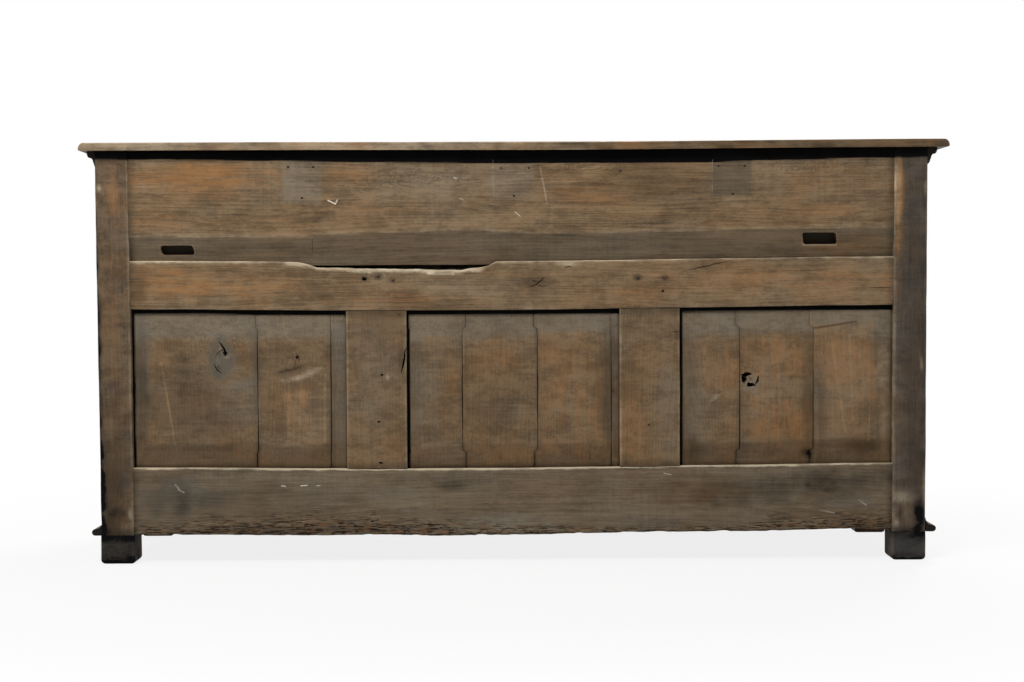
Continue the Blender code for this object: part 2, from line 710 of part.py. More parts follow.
def make_ends(posts):
    """One wide fielded board at each end, in grooves of the posts and tenoned above and below."""
    between = (FRONT_POST[1], REAR_POST[0])
    z = (FOOT_CLEARANCE, POST_TOP)
    reach = GROOVE_DEPTH - PANEL_PLAY
    for side_name, side in SIDES.items():
        slot = mirrored(END_SLOT, side)
        board = box(f"end_board_{side_name}", shrink(slot), grow(between, reach), z, SHOW_OAK)
        edge = reach + SEAT
        field = (edge + END_BEVEL_SIDES, END_BEVEL_LOW, END_BEVEL_HIGH, END_FIELD_RISE)
        raise_field(board, 0, side, [(edge, SEAT, SEAT, 0.0), field])
        lower = z[0] + END_TENON_INSET
        upper = z[1] - END_TENON_INSET - END_TENON_HEIGHT
        for low in (lower, upper):
            tenon_z = (low, low + END_TENON_HEIGHT)
            front_y = (between[0] - TENON_LENGTH, between[0] + TENON_ROOT)
            rear_y = (between[1] - TENON_ROOT, between[1] + TENON_LENGTH)
            tenon(board, posts[side_name]["front"], shrink(slot, 2 * SEAT), front_y, tenon_z)
            tenon(board, posts[side_name]["rear"], shrink(slot, 2 * SEAT), rear_y, tenon_z)
        groove_z = (z[0] - SEAT, POST_TOP + SPARE)
        front_groove = (between[0] - GROOVE_DEPTH, between[0] + SPARE)
        rear_groove = (between[1] - SPARE, between[1] + GROOVE_DEPTH)
        carve_box(posts[side_name]["front"], slot, front_groove, groove_z)
        carve_box(posts[side_name]["rear"], slot, rear_groove, groove_z)


# Front frame


def make_front(posts):
    """Three rails, two muntins halved across the drawer rail, and the fixed panel between them."""
    x = shrink((-POST_INNER, POST_INNER))
    top = box("front_top_rail", x, FRONT_RAIL, FRONT_TOP_RAIL, SHOW_OAK)
    drawer = box("front_drawer_rail", x, FRONT_RAIL, FRONT_DRAWER_RAIL, SHOW_OAK)
    bottom = box("front_bottom_rail", x, FRONT_RAIL, FRONT_BOTTOM_RAIL, SHOW_OAK)
    haunch = GROOVE_DEPTH + TENON_HAUNCH
    post_tenons(top, posts, "front", FRONT_TENON, shrink(FRONT_TOP_RAIL, TOP_RAIL_HAUNCH))
    post_tenons(drawer, posts, "front", FRONT_TENON, shrink(FRONT_DRAWER_RAIL, haunch))
    post_tenons(bottom, posts, "front", FRONT_TENON, shrink(FRONT_BOTTOM_RAIL, haunch))
    for side_name, side in SIDES.items():
        make_front_muntin(side_name, side, top, drawer, bottom)
    between = grow((-FRONT_MUNTIN[0], FRONT_MUNTIN[0]), GROOVE_DEPTH)
    carve_box(
        drawer, between, FRONT_SLOT, (FRONT_DRAWER_RAIL[0] - SPARE, FRONT_DRAWER_RAIL[0] + GROOVE_DEPTH)
    )
    carve_box(
        bottom, between, FRONT_SLOT, (FRONT_BOTTOM_RAIL[1] - GROOVE_DEPTH, FRONT_BOTTOM_RAIL[1] + SPARE)
    )
    rebate_y = (FRONT_RAIL[1] - HOUSING_DEPTH, FRONT_RAIL[1] + SPARE)
    carve_box(drawer, grow(x, SPARE), rebate_y, (DECK[0] - SEAT, DECK[1] + SPARE))
    make_fixed_panel()
    return drawer, bottom


def make_front_muntin(side_name, side, top, drawer, bottom):
    x = mirrored(FRONT_MUNTIN, side)
    z = (FRONT_BOTTOM_RAIL[1] + SEAT, FRONT_TOP_RAIL[0] - SEAT)
    muntin = box(f"front_muntin_{side_name}", x, FRONT_RAIL, z, SHOW_OAK)
    tenon_x = shrink(x, GROOVE_DEPTH + TENON_HAUNCH)
    tenon(muntin, top, tenon_x, FRONT_TENON, (z[1] - TENON_ROOT, z[1] + TOP_RAIL_TENON_LENGTH))
    tenon(muntin, bottom, tenon_x, FRONT_TENON, (z[0] - MUNTIN_TENON_LENGTH, z[0] + TENON_ROOT))
    lap = sum(FRONT_RAIL) / 2
    carve_box(muntin, grow(x, SPARE), (FRONT_RAIL[0] - SPARE, lap + SEAT / 2), grow(FRONT_DRAWER_RAIL))
    carve_box(drawer, grow(x), (lap - SEAT / 2, FRONT_RAIL[1] + SPARE), grow(FRONT_DRAWER_RAIL, SPARE))
    groove_x = mirrored((FRONT_MUNTIN[0] - SPARE, FRONT_MUNTIN[0] + GROOVE_DEPTH), side)
    carve_box(muntin, groove_x, FRONT_SLOT, (z[0] - SPARE, FRONT_DRAWER_RAIL[0] + GROOVE_DEPTH))
    return muntin


def make_fixed_panel():
    reach = GROOVE_DEPTH - PANEL_PLAY
    panel = box(
        "front_fixed_panel",
        grow((-FRONT_MUNTIN[0], FRONT_MUNTIN[0]), reach),
        shrink(FRONT_SLOT),
        grow((FRONT_BOTTOM_RAIL[1], FRONT_DRAWER_RAIL[0]), reach),
        SHOW_OAK,
    )
    edge = reach + SEAT
    field_panel(panel, edge, FRONT_BEVEL, FRONT_FIELD_RISE, FRONT_FIELD_STEP)
    return panel


def field_panel(panel, edge, bevel, rise, step):
    """Fields the front of a panel: a flat tongue, a bevel and a small upright step at the field."""
    inner = edge + bevel
    raise_field(
        panel,
        1,
        -1,
        [
            (edge, edge, edge, 0.0),
            (inner, inner, inner, rise - step),
            (inner + SEAT, inner + SEAT, inner + SEAT, rise),
        ],
    )


# Floor, deck and top


def boarded_outline(front, back):
    """A floor's outline: notched round the four posts and the two front muntins."""
    wide, narrow = END_INSIDE - BOARD_SIDE_PLAY, POST_INNER - SEAT
    muntin, muntin_back = grow(FRONT_MUNTIN), FRONT_RAIL[1] + SEAT
    right = [
        (muntin[0], front),
        (muntin[0], muntin_back),
        (muntin[1], muntin_back),
        (muntin[1], front),
        (narrow, front),
        (narrow, FRONT_POST[1] + SEAT),
        (wide, FRONT_POST[1] + SEAT),
        (wide, REAR_POST[0] - SEAT),
        (narrow, REAR_POST[0] - SEAT),
        (narrow, back),
    ]
    return [*right, *((-x, y) for x, y in reversed(right))]


def make_floor(back_bottom_rail):
    """The cupboard floor lies on the front rail, where its edge stops the doors."""
    back = BACK_RAIL[0] + HOUSING_DEPTH
    front = DOOR_DEPTH[1] + DOOR_STOP_GAP
    floor = plate("cupboard_floor", boarded_outline(front, back - SEAT), FLOOR, Matrix(), LINING_OAK)
    carve_box(
        back_bottom_rail,
        (-POST_INNER - SPARE, POST_INNER + SPARE),
        (BACK_RAIL[0] - SPARE, back),
        grow(FLOOR),
    )
    return floor


def make_deck(back_middle_rail):
    """The deck on which the drawers slide, with the guides between and beside them."""
    back = BACK_RAIL[0] + HOUSING_DEPTH
    front = FRONT_RAIL[1] - HOUSING_DEPTH + SEAT
    deck = plate("drawer_deck", boarded_outline(front, back - SEAT), DECK, Matrix(), LINING_OAK)
    guide_z = (DECK[1] - DECK_THICKNESS / 2, DECK[1] + GUIDE_HEIGHT)
    for side in SIDES.values():
        between_drawers = (FRONT_RAIL[1] + 2 * SEAT, BACK_RAIL[0] - SEAT)
        fuse_box(deck, mirrored(FRONT_MUNTIN, side), between_drawers, guide_z)
        at_end = (FRONT_POST[1] + 2 * SEAT, REAR_POST[0] - 2 * SEAT)
        guide_x = mirrored((POST_INNER, END_INSIDE - 2 * BOARD_SIDE_PLAY), side)
        fuse_box(deck, guide_x, at_end, guide_z)
    carve_box(
        back_middle_rail,
        (-POST_INNER - SPARE, POST_INNER + SPARE),
        (BACK_RAIL[0] - SPARE, back),
        grow(DECK),
    )
    return deck


def make_top():
    """Two boards, tongued together, with the thumb moulding along the front and both ends."""
    x, z = (-TOP_LENGTH / 2, TOP_LENGTH / 2), (TOP_UNDERSIDE, OVERALL_HEIGHT)
    joint = TOP_DEPTH / 2 - TOP_REAR_BOARD_DEPTH
    front = box("top_front_board", x, (-TOP_DEPTH / 2, joint - SEAT), z, SHOW_OAK)
    rear = box("top_rear_board", x, (joint, TOP_DEPTH / 2), z, SHOW_OAK)

    def is_end(middle, half):
        return abs(middle.x) > 0.9 * half[0] and abs(middle.y) < 0.1 * half[1]

    def is_front(middle, half):
        return middle.y < -0.9 * half[1] and abs(middle.x) < 0.1 * half[0]

    for board, moulded in ((front, (is_end, is_front)), (rear, (is_end,))):
        ease_edges(
            board, TOP_THUMB, 4, lambda m, h: m.z > 0.9 * h[2] and any(test(m, h) for test in moulded)
        )
        ease_edges(
            board, TOP_UNDER_EASE, 2, lambda m, h: m.z < -0.9 * h[2] and any(test(m, h) for test in moulded)
        )
    middle_z = sum(z) / 2
    tenon(
        rear,
        front,
        shrink(x, TOP_TONGUE_STOP),
        (joint - TOP_TONGUE_LENGTH, joint + TENON_ROOT),
        (middle_z - TOP_TONGUE_THICKNESS / 2, middle_z + TOP_TONGUE_THICKNESS / 2),
    )
    return front, rear


# Mouldings


def mitred_run(name, profile):
    """A moulding along one end, the front and the other end, mitred at the front corners."""
    sections = []
    for side, corner in ((-1, False), (-1, True), (1, True), (1, False)):
        section = []
        for out, z in profile:
            y = FRONT_FACE - out if corner else BACK_FACE - FRAME_SETBACK
            section.append((side * (HALF_WIDTH + out), y, z))
        sections.append(section)
    return swept(name, sections, SHOW_OAK)


def quarter(start, size, bulge):
    """A quarter round or hollow that falls and goes in from its start, from (width, height)."""
    width, height = size
    if bulge:
        turns = arc((0.0, 0.0), 1.0, 0, -90, MOULDING_ARC_STEPS)
        return [(start[0] - width * (1 - u), start[1] + height * v) for u, v in turns]
    turns = arc((0.0, 0.0), 1.0, 90, 180, MOULDING_ARC_STEPS)
    return [(start[0] + width * u, start[1] - height * (1 - v)) for u, v in turns]


def make_cornice():
    """Under the top: a quarter round, a hollow and a smaller quarter round, with fillets between."""
    members = ((CORNICE_UPPER_ROUND, True), (CORNICE_HOLLOW, False), (CORNICE_LOWER_ROUND, True))
    projection = SEAT + sum(size[0] for size, _ in members) + 2 * CORNICE_FILLET
    top = TOP_UNDERSIDE - SEAT
    profile = [(SEAT, top), (projection, top)]
    corner = (projection, top - CORNICE_LIP)
    for size, bulge in members:
        profile += quarter(corner, size, bulge)
        corner = (profile[-1][0] - CORNICE_FILLET, profile[-1][1])
        profile.append(corner)
    return mitred_run("cornice_moulding", profile[:-1])


def make_base():
    """Round the foot of the carcase: a hollow above a round nose."""
    width, height = BASE_HOLLOW
    nose = (SEAT + width, BASE_LOW + BASE_NOSE)
    shoulder = BASE_LOW + 2 * BASE_NOSE
    turns = arc((1.0, 1.0), 1.0, 270, 180, MOULDING_ARC_STEPS)
    profile = [
        (SEAT, BASE_LOW),
        *arc(nose, BASE_NOSE, -90, 90, 2 * MOULDING_ARC_STEPS),
        *((SEAT + width * u, shoulder + height * v) for u, v in turns[1:]),
    ]
    return mitred_run("base_moulding", profile)


# Drawers


def tail_points(shoulder, length, middle, pitch, gap=0.0):
    """One dovetail in Y and Z. The length is negative where the tail points to the front."""
    tip = DOVETAIL_SHARE * pitch / 2 + gap
    root = tip - abs(length) * DOVETAIL_SLOPE
    end = shoulder + length + math.copysign(gap, length)
    return [(shoulder, middle - root), (end, middle - tip), (end, middle + tip), (shoulder, middle + root)]


def make_drawer(bay_name, bay):
    """A drawer dovetailed at its four corners, its bottom grooved in and slid under the back."""
    name = f"drawer_{bay_name}"
    centre = bay * (BAY_WIDTH + FRONT_MUNTIN_WIDTH)
    half = BAY_WIDTH / 2 - DRAWER_GAP
    x = (centre - half, centre + half)
    front_z = (DECK[1] + DRAWER_GAP, FRONT_TOP_RAIL[0] - DRAWER_GAP)
    side_z = (DECK[1] + SEAT, front_z[1] - DRAWER_SIDE_DROP)
    bottom_low = side_z[0] + DRAWER_BOTTOM_LIFT
    bottom_z = (bottom_low, bottom_low + DRAWER_BOTTOM_THICKNESS)
    groove_z = grow(bottom_z)
    front_y = (FRONT_FACE, FRONT_FACE + DRAWER_FRONT_THICKNESS)
    end = BACK_RAIL[0] - DRAWER_STOP_GAP
    back_y = (end - DRAWER_LINING + SEAT, end)

    front = box(f"{name}_front", x, front_y, front_z, SHOW_OAK)
    back = box(f"{name}_back", x, back_y, (groove_z[1], side_z[1] - DRAWER_BACK_DROP), LINING_OAK)
    corners = (
        (front, front_y[1] + SEAT, DOVETAIL_LAP - DRAWER_FRONT_THICKNESS),
        (back, end - DRAWER_LINING, DRAWER_LINING),
    )
    pieces = [front, back]
    for side_name, side in SIDES.items():
        outer = centre + side * half
        side_x = (outer, outer - side * DRAWER_LINING)
        pieces.append(make_drawer_side(f"{name}_side_{side_name}", side_x, side_z, corners, groove_z))
        cut_sockets(corners, (outer + side * SPARE, side_x[1] - side * SEAT), side_z)
    groove_x = grow(shrink(x, DRAWER_LINING), DRAWER_BOTTOM_GROOVE)
    groove_front = front_y[1] - DRAWER_BOTTOM_GROOVE
    carve_box(front, groove_x, (groove_front, front_y[1] + SPARE), groove_z)
    bottom_y = (groove_front + SEAT, end)
    pieces.append(box(f"{name}_bottom", shrink(groove_x), bottom_y, bottom_z, LINING_OAK))

    middle = sum(front_z) / 2
    tenon_end = [(KNOB_TENON_RADIUS, -KNOB_TENON_LENGTH), (0.0, -KNOB_TENON_LENGTH)]
    profile = [*knob_profile(), *tenon_end]
    knob = turned(f"{name}_knob", profile, (centre, FRONT_FACE - SEAT, middle), True, SHOW_OAK)
    bore = (FRONT_FACE - SPARE, FRONT_FACE + KNOB_TENON_LENGTH + SEAT)
    carve_rod(front, (centre, middle), KNOB_TENON_RADIUS + SEAT, bore, 1)
    hang_on(f"{name}_slide", (centre, FRONT_FACE, DECK[1]), [*pieces, knob])


def tail_pitch(z):
    """The pitch of the dovetails on a drawer side, and the middle of each."""
    pitch = (z[1] - z[0]) / DOVETAILS
    return pitch, [z[0] + pitch * (i + 0.5) for i in range(DOVETAILS)]


def cut_sockets(corners, x, z):
    """Sockets for the tails of one drawer side, in the drawer's front and back."""
    pitch, middles = tail_pitch(z)
    for piece, shoulder, length in corners:
        beyond = math.copysign(SPARE, length)
        for middle in middles:
            tail = tail_points(shoulder - beyond, length + beyond, middle, pitch, SEAT)
            name = f"cut_{piece.name}_{len(piece.modifiers)}"
            carve(piece, plate(name, tail, sorted(x), SIDEWAYS))


def make_drawer_side(name, x, z, corners, groove_z):
    """A drawer side with tails at both ends and the groove for the bottom on its inner face."""
    pitch, middles = tail_pitch(z)
    (_, front, front_length), (_, back, back_length) = corners
    outline = [(front, z[0]), (back, z[0])]
    for middle in middles:
        outline += tail_points(back, back_length, middle, pitch)
    outline += [(back, z[1]), (front, z[1])]
    for middle in reversed(middles):
        outline += reversed(tail_points(front, front_length, middle, pitch))
    side = plate(name, outline, sorted(x), SIDEWAYS, LINING_OAK)
    outer, inner = x
    into = math.copysign(1, outer - inner)
    groove_y = (front + front_length - SPARE, back + back_length + SPARE)
    carve_box(side, (inner + into * DRAWER_BOTTOM_GROOVE, inner - into * SPARE), groove_y, groove_z)
    return side


def knob_profile():
    """A mushroom knob on a waisted neck, from its crown down to the face it stands on."""
    crown = KNOB_LENGTH
    return [
        (0.0, crown),
        (KNOB_RADIUS * 0.55, crown * 0.975),
        (KNOB_RADIUS * 0.88, crown * 0.87),
        (KNOB_RADIUS, crown * 0.70),
        (KNOB_RADIUS * 0.88, crown * 0.53),
        (KNOB_NECK_RADIUS * 1.15, crown * 0.37),
        (KNOB_NECK_RADIUS, crown * 0.24),
        (KNOB_FLANGE_RADIUS * 0.93, crown * 0.10),
        (KNOB_FLANGE_RADIUS, crown * 0.04),
        (KNOB_FLANGE_RADIUS, 0.0),
        (KNOB_TENON_RADIUS, 0.0),
    ]


# Doors


def make_door(side_name, side, drawer_rail, bottom_rail):
    """A framed door with a fielded panel, turning on the middle of its rounded edge."""
    name = f"door_{side_name}"
    hanging_edge, closing_edge = POST_INNER - DOOR_GAP, FRONT_MUNTIN[1] + DOOR_GAP
    axis = (side * (hanging_edge - DOOR_THICKNESS / 2), sum(DOOR_DEPTH) / 2)
    z = (FRONT_BOTTOM_RAIL[1] + DOOR_GAP, FRONT_DRAWER_RAIL[0] - DOOR_GAP)
    sight_x = (closing_edge + DOOR_STILE_WIDTH, hanging_edge - DOOR_STILE_WIDTH)
    sight_z = (z[0] + DOOR_BOTTOM_RAIL_HEIGHT, z[1] - DOOR_TOP_RAIL_HEIGHT)

    hanging = make_hanging_stile(name, side, axis, sight_x[1], z, drawer_rail, bottom_rail)
    closing = box(
        f"{name}_closing_stile", mirrored((closing_edge, sight_x[0]), side), DOOR_DEPTH, z, SHOW_OAK
    )
    rail_x = mirrored(shrink(sight_x), side)
    top = box(f"{name}_top_rail", rail_x, DOOR_DEPTH, (sight_z[1], z[1]), SHOW_OAK)
    bottom = box(f"{name}_bottom_rail", rail_x, DOOR_DEPTH, (z[0], sight_z[0]), SHOW_OAK)
    for rail, extent in ((top, (sight_z[1], z[1])), (bottom, (z[0], sight_z[0]))):
        tenon_z = shrink(extent, DOOR_GROOVE_DEPTH + TENON_HAUNCH)
        for stile, edge, away in ((closing, sight_x[0], -1), (hanging, sight_x[1], 1)):
            tenon_x = mirrored((edge - away * TENON_ROOT, edge + away * DOOR_TENON_LENGTH), side)
            tenon(rail, stile, tenon_x, DOOR_TENON, tenon_z)
    groove_z = grow(sight_z, DOOR_GROOVE_DEPTH)
    for stile, edge, away in ((closing, sight_x[0], -1), (hanging, sight_x[1], 1)):
        groove_x = mirrored(sorted((edge - away * SPARE, edge + away * DOOR_GROOVE_DEPTH)), side)
        carve_box(stile, groove_x, DOOR_SLOT, groove_z)
    rail_groove_x = mirrored(grow(sight_x, SPARE), side)
    carve_box(top, rail_groove_x, DOOR_SLOT, (sight_z[1] - SPARE, sight_z[1] + DOOR_GROOVE_DEPTH))
    carve_box(bottom, rail_groove_x, DOOR_SLOT, (sight_z[0] - DOOR_GROOVE_DEPTH, sight_z[0] + SPARE))

    reach = DOOR_GROOVE_DEPTH - PANEL_PLAY
    panel = box(
        f"{name}_panel",
        mirrored(grow(sight_x, reach), side),
        shrink(DOOR_SLOT),
        grow(sight_z, reach),
        SHOW_OAK,
    )
    field_panel(panel, reach + SEAT, DOOR_BEVEL, DOOR_FIELD_RISE, DOOR_FIELD_STEP)
    hang_on(f"{name}_hinge", (*axis, z[0]), [hanging, closing, top, bottom, panel])
    make_latch(name, side * (closing_edge + DOOR_STILE_WIDTH / 2), sum(z) / 2, closing)


def make_hanging_stile(name, side, axis, sight, z, drawer_rail, bottom_rail):
    """The stile that turns: round on its outer edge, a pivot worked on top and a pin bored in below."""
    turns = arc((0.0, 0.0), DOOR_THICKNESS / 2, -90, 90, DOOR_EDGE_STEPS)
    round_edge = [(axis[0] + side * u, axis[1] + v) for u, v in turns]
    outline = [*round_edge, (side * sight, DOOR_DEPTH[1]), (side * sight, DOOR_DEPTH[0])]
    stile = plate(f"{name}_hanging_stile", outline, z, Matrix(), SHOW_OAK)
    pivot = (z[1] - TENON_ROOT, z[1] + PIVOT_LENGTH)
    fuse(stile, rod(f"tenon_{name}_pivot", axis, PIVOT_RADIUS, pivot, 2))
    carve_rod(drawer_rail, axis, PIVOT_RADIUS + SEAT, (z[1] - DOOR_GAP - SPARE, pivot[1] + SEAT), 2)
    make_pivot_pin(name, axis, z[0], stile, bottom_rail)
    return stile


def make_pivot_pin(name, axis, door_low, stile, bottom_rail):
    """An iron pin driven into the bottom rail, with the collar that carries the door."""
    rail_top = FRONT_BOTTOM_RAIL[1]
    collar = (rail_top + SEAT, door_low - SEAT)
    top, bottom = door_low + PIN_DEPTH, rail_top - PIN_DEPTH
    profile = [
        (0.0, top),
        (PIN_RADIUS, top),
        (PIN_RADIUS, collar[1]),
        (PIN_COLLAR_RADIUS, collar[1]),
        (PIN_COLLAR_RADIUS, collar[0]),
        (PIN_RADIUS, collar[0]),
        (PIN_RADIUS, bottom),
        (0.0, bottom),
    ]
    origin = (*axis, rail_top)
    turned(f"{name}_pivot_pin", [(r, height - rail_top) for r, height in profile], origin, False, IRON)
    carve_rod(stile, axis, PIN_RADIUS + SEAT, (door_low - SPARE, top + SEAT), 2)
    carve_rod(bottom_rail, axis, PIN_RADIUS + SEAT, (bottom - SEAT, rail_top + SPARE), 2)


def make_latch(name, x, z, stile):
    """The knob, its spindle through the stile and the turning latch behind, which catches the muntin."""
    behind = FRONT_RAIL[1] + LATCH_GAP
    spindle = FRONT_FACE - SEAT - behind - LATCH_THICKNESS / 2
    profile = [*knob_profile(), (KNOB_TENON_RADIUS, spindle), (0.0, spindle)]
    knob = turned(f"{name}_latch_knob", profile, (x, FRONT_FACE - SEAT, z), True, SHOW_OAK)
    fuse_box(
        knob,
        (x - LATCH_WIDTH / 2, x + LATCH_WIDTH / 2),
        (behind, behind + LATCH_THICKNESS),
        (z - LATCH_ARM, z + LATCH_TAIL),
    )
    carve_rod(stile, (x, z), KNOB_TENON_RADIUS + SEAT, grow(DOOR_DEPTH, SPARE), 1)
    hang_on(f"{name}_latch_axis", (x, FRONT_FACE, z), [knob])


def main():
    posts = make_posts()
    back_middle_rail, back_bottom_rail = make_back(posts)
    make_ends(posts)
    drawer_rail, bottom_rail = make_front(posts)
    make_floor(back_bottom_rail)
    make_deck(back_middle_rail)
    make_top()
    make_cornice()
    make_base()
    for bay_name, bay in BAYS.items():
        make_drawer(bay_name, bay)
    for side_name, side in SIDES.items():
        make_door(side_name, side, drawer_rail, bottom_rail)


main()
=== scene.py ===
"""Looks of the oak dresser base: its worn back, its oak and iron finishes, the studio and the camera."""

import json
import logging
import math
from collections.abc import Sequence
from dataclasses import dataclass, field, replace
from enum import Enum

import bmesh
import bpy
import numpy as np
from mathutils import Matrix, Vector

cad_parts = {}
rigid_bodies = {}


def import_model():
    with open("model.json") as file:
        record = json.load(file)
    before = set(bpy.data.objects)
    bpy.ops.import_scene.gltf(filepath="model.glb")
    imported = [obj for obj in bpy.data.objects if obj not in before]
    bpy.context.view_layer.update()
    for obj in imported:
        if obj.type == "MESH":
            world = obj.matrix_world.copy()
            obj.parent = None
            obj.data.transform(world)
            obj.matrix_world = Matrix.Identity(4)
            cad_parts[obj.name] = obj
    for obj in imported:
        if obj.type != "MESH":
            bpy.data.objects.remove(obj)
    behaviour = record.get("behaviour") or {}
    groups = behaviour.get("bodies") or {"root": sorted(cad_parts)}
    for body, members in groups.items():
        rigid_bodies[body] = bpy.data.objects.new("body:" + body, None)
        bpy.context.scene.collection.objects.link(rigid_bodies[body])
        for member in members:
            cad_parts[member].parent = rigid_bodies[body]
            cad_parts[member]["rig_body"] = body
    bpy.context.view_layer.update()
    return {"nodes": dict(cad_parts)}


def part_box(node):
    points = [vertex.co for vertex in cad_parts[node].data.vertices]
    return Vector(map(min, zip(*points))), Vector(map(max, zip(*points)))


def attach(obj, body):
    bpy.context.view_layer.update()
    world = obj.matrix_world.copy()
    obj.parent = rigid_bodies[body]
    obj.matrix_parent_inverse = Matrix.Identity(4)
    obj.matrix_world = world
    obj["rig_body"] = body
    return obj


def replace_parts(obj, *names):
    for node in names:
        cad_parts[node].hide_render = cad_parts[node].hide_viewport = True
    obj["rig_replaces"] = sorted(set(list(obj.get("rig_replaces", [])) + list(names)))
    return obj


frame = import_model()

Array = np.ndarray
Span = tuple[float, float]
Pixel = tuple[float, float]
Colour = tuple[float, float, float]
Piece = bpy.types.Object
Material = bpy.types.Material
Solid = bmesh.types.BMesh

LOG = logging.getLogger("dresser_looks")
PIXEL = 0.00205  # metres that a pixel of the photograph spans on the back
RAIL_FACE = 0.2355  # the rear face of the rails, the muntins and the upper panel


class Run(Enum):
    """Which way the grain of a piece runs, as the number of its axis."""

    ACROSS = 0
    DEEP = 1
    UPRIGHT = 2

    def stretch(self, along: float, across: float) -> Colour:
        """The scale of each axis: one value along the grain, another across it."""
        return tuple(along if axis == self.value else across for axis in range(3))

    def width_axis(self) -> int:
        """The axis across the grain in which the growth rings are counted."""
        return 0 if self is Run.UPRIGHT else 2


class Film(Enum):
    """What lies on the wood, or has happened to it, with the shade, sheen and highlights painted along with
    it; each is painted on the points of a mesh.
    """

    SEED = "seed"
    AMBER = "amber"
    # dust, and the painted sheen and lighter lit bevels laid with it
    DUST = "dust"
    # soot, and the painted shade laid with it
    SOOT = "soot"
    # rubbed wear, and the painted highlights laid with it
    RUB = "rub"
    SWELL = "swell"
    ROT = "rot"


class Slot(Enum):
    """The record's material slots."""

    BACK = "back_oak"
    SHOW = "show_oak"
    LINING = "lining_oak"
    IRON = "iron"


@dataclass(frozen=True)
class PhotoCamera:
    """The camera of the photograph, and what its pixels look at."""

    image: Pixel = (1024.0, 682.0)
    lens: float = 60.08
    sensor: float = 36.0
    place: Colour = (0.0020, 3.7385, 0.5787)
    pitch: float = math.radians(2.010)
    roll: float = math.radians(-0.298)

    def axes(self) -> tuple[Vector, Vector, Vector]:
        """The camera's directions.

        Returns:
            The right, the upward and the forward direction.
        """
        right, level, ahead = Vector((-1, 0, 0)), Vector((0, 0, 1)), Vector((0, -1, 0))
        forward = ahead * math.cos(self.pitch) - level * math.sin(self.pitch)
        upward = level * math.cos(self.pitch) + ahead * math.sin(self.pitch)
        side = right * math.cos(self.roll) + upward * math.sin(self.roll)
        return side, upward * math.cos(self.roll) - right * math.sin(self.roll), forward

    def spot(self, px: float, py: float, depth: float = RAIL_FACE) -> Pixel:
        """Where the ray of a pixel meets an upright plane.

        Args:
            px: The pixel's column.
            py: The pixel's row.
            depth: The place of the plane along Y.

        Returns:
            The X and Z of the point.
        """
        side, upward, forward = self.axes()
        focal = self.lens / self.sensor * self.image[0]
        ray = forward * focal + side * (px - self.image[0] / 2) - upward * (py - self.image[1] / 2)
        start = Vector(self.place)
        hit = start + ray * ((depth - start.y) / ray.y)
        return hit.x, hit.z

    def line(self, pixels: Sequence[Pixel], depth: float = RAIL_FACE) -> tuple[Array, Array]:
        """The X and Z of a row of pixels, in the order of X."""
        spots = np.array(sorted(self.spot(*pixel, depth) for pixel in pixels))
        return spots[:, 0], spots[:, 1]

    def make(self) -> None:
        """Adds the camera to the scene."""
        data = bpy.data.cameras.new("photo_camera")
        data.lens, data.sensor_width = self.lens, self.sensor
        data.clip_end = 100.0
        camera = bpy.data.objects.new("photo_camera", data)
        bpy.context.scene.collection.objects.link(camera)
        side, upward, forward = self.axes()
        turn = Matrix((side, upward, -forward)).transposed().to_4x4()
        camera.matrix_world = Matrix.Translation(self.place) @ turn
        bpy.context.scene.camera = camera


CAMERA = PhotoCamera()
PANEL_ROW = 388.0  # the pixel row through the middle of the lower panels
RAIL_BOW = (  # pixel columns, and the rise of the rails there
    (133, 1.5), (200, 1.1), (250, 0.4), (320, -0.4), (400, -0.9), (520, -0.9), (600, -0.2), (700, 0.8),
    (760, 1.2), (820, 1.9), (892, 2.4),
)


def bow(x: Array) -> Array:
    """How far the back's rails, which dip between the posts, stand above a level line."""
    places = np.array(sorted((CAMERA.spot(px, PANEL_ROW)[0], rise * PIXEL) for px, rise in RAIL_BOW))
    return np.interp(x, places[:, 0], places[:, 1])


def ramp(value: Array, low: float, high: float) -> Array:
    """A smooth rise from 0 at low to 1 at high, or a fall where low is the greater."""
    share = np.clip((value - low) / (high - low), 0.0, 1.0)
    return share * share * (3.0 - 2.0 * share)


class Grit:
    """Smooth repeatable noise over two coordinates, from -1 to 1."""

    SIZE = 128

    def __init__(self, seed: int) -> None:
        """Draws the table of heights."""
        self.table = np.random.default_rng(seed).uniform(-1.0, 1.0, (self.SIZE, self.SIZE))

    def at(self, u: Array, v: Array) -> Array:
        """One layer of noise, with a wave of about two units.

        Args:
            u: The first coordinate of the points.
            v: Their second coordinate.

        Returns:
            The heights.
        """
        column, row = np.floor(u).astype(int), np.floor(v).astype(int)
        share_u, share_v = ramp(u - column, 0.0, 1.0), ramp(v - row, 0.0, 1.0)

        def pick(step_u: int, step_v: int) -> Array:
            """The table's height at a corner of the cell."""
            return self.table[(column + step_u) % self.SIZE, (row + step_v) % self.SIZE]

        low = pick(0, 0) * (1 - share_u) + pick(1, 0) * share_u
        high = pick(0, 1) * (1 - share_u) + pick(1, 1) * share_u
        return low * (1 - share_v) + high * share_v

    def layers(self, u: Array, v: Array, count: int = 3) -> Array:
        """Several layers, each half as strong and twice as fine as the one before."""
        heights = [self.at(u * 2**step + 17 * step, v * 2**step) / 2**step for step in range(count)]
        return sum(heights) / (2 - 2 ** (1 - count))


# Shader tools


